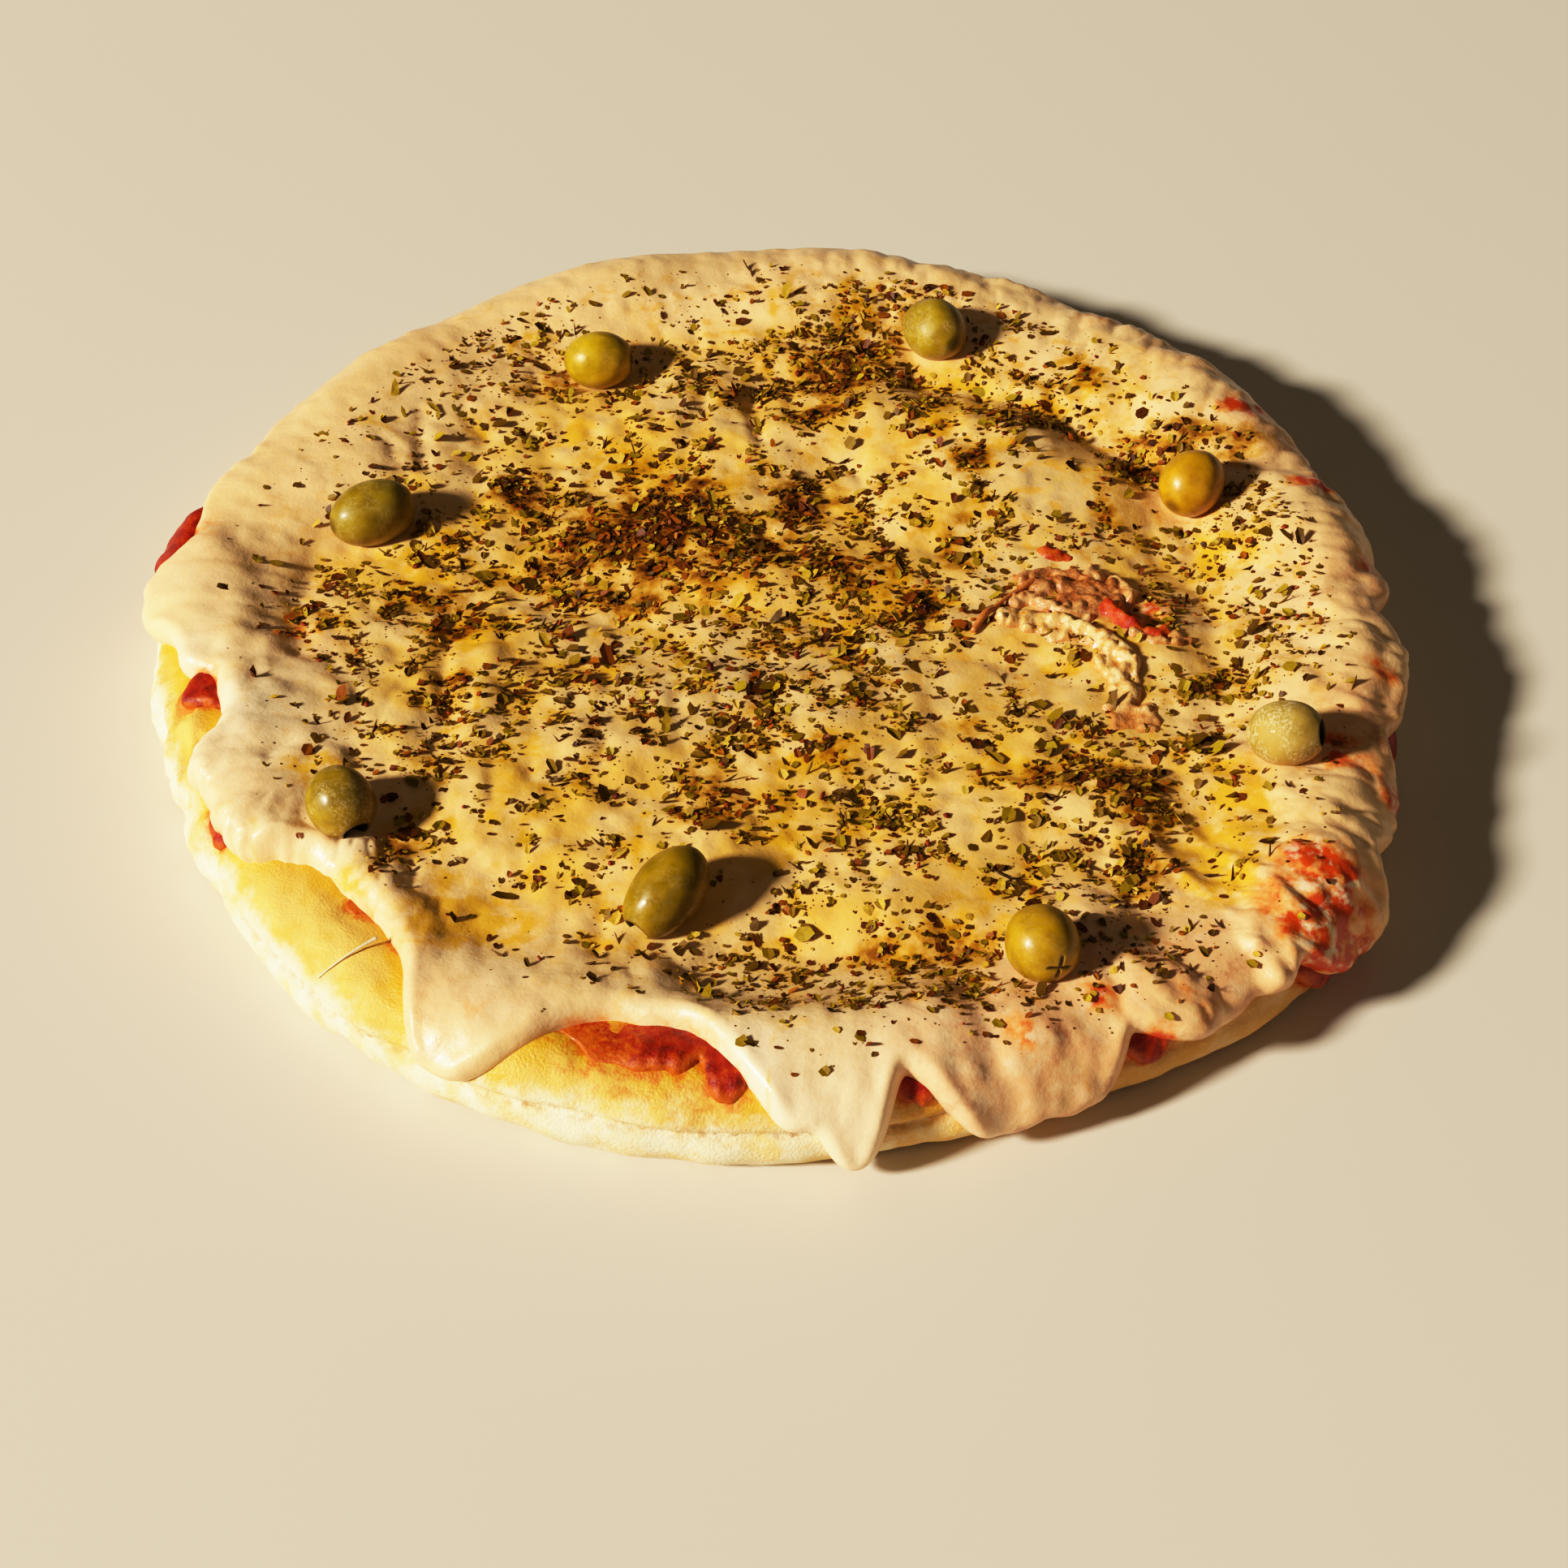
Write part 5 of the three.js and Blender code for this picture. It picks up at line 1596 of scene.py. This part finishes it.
def build_stage():
    floor_finish = Finish("pale_floor")
    shade = floor_finish.mix(floor_finish.noise(400.0, 2.0), "floor deep", "floor light")
    bpy.ops.mesh.primitive_plane_add(size=FLOOR_SIZE, location=(0.0, 0.0, FLOOR_HEIGHT))
    floor = bpy.context.object
    floor.name = "floor"
    floor.data.materials.append(floor_finish.finish(shade, 0.85))


def add_softbox(name, place, size, power, colour):
    light = bpy.data.lights.new(name, "AREA")
    light.shape = "DISK"
    light.size = size
    light.energy = power
    light.color = colour
    box = bpy.data.objects.new(name, light)
    box.location = place
    x, y, z = np.array(place) - np.array(LIGHT_AIM)
    box.rotation_euler = (math.atan2(math.hypot(x, y), z), 0.0, math.atan2(x, -y))
    bpy.context.scene.collection.objects.link(box)


def set_tones(view):
    view.view_transform = "Standard"
    view.use_curve_mapping = True
    curves = view.curve_mapping
    curves.white_level = (BRIGHTEST, BRIGHTEST, BRIGHTEST)
    points = curves.curves[3].points
    points[1].location = (1.0, WHITEST)
    for before, after in TONES:
        points.new(before / BRIGHTEST, after)
    curves.update()


def build_light():
    for light in LIGHTS:
        add_softbox(*light)
    world = bpy.data.worlds.new("studio")
    world.use_nodes = True
    backdrop = world.node_tree.nodes["Background"]
    backdrop.inputs["Color"].default_value = BACKDROP_COLOUR
    backdrop.inputs["Strength"].default_value = BACKDROP_STRENGTH
    bpy.context.scene.world = world
    set_tones(bpy.context.scene.view_settings)


def build_camera():
    camera = bpy.data.cameras.new("camera")
    camera.sensor_width = SENSOR_WIDTH
    camera.lens = SENSOR_WIDTH * PHOTO_FOCUS / PHOTO_SIDE
    camera.clip_start = NEAREST_SEEN
    stand = bpy.data.objects.new("camera", camera)
    tilt = math.radians(CAMERA_ELEVATION)
    aim_x, aim_y, aim_z = CAMERA_AIM
    back = CAMERA_DISTANCE * math.cos(tilt)
    stand.location = (aim_x * MM, (aim_y - back) * MM, (aim_z + CAMERA_DISTANCE * math.sin(tilt)) * MM)
    stand.rotation_euler = (math.pi / 2 - tilt, 0.0, 0.0)
    bpy.context.scene.collection.objects.link(stand)
    bpy.context.scene.camera = stand


build_camera()
build_light()
build_stage()
build_crust()
build_sauce()
build_cheese(build_oregano())
for olive in range(len(OLIVES)):
    build_olive(olive)
build_torn_patch()
build_strands()
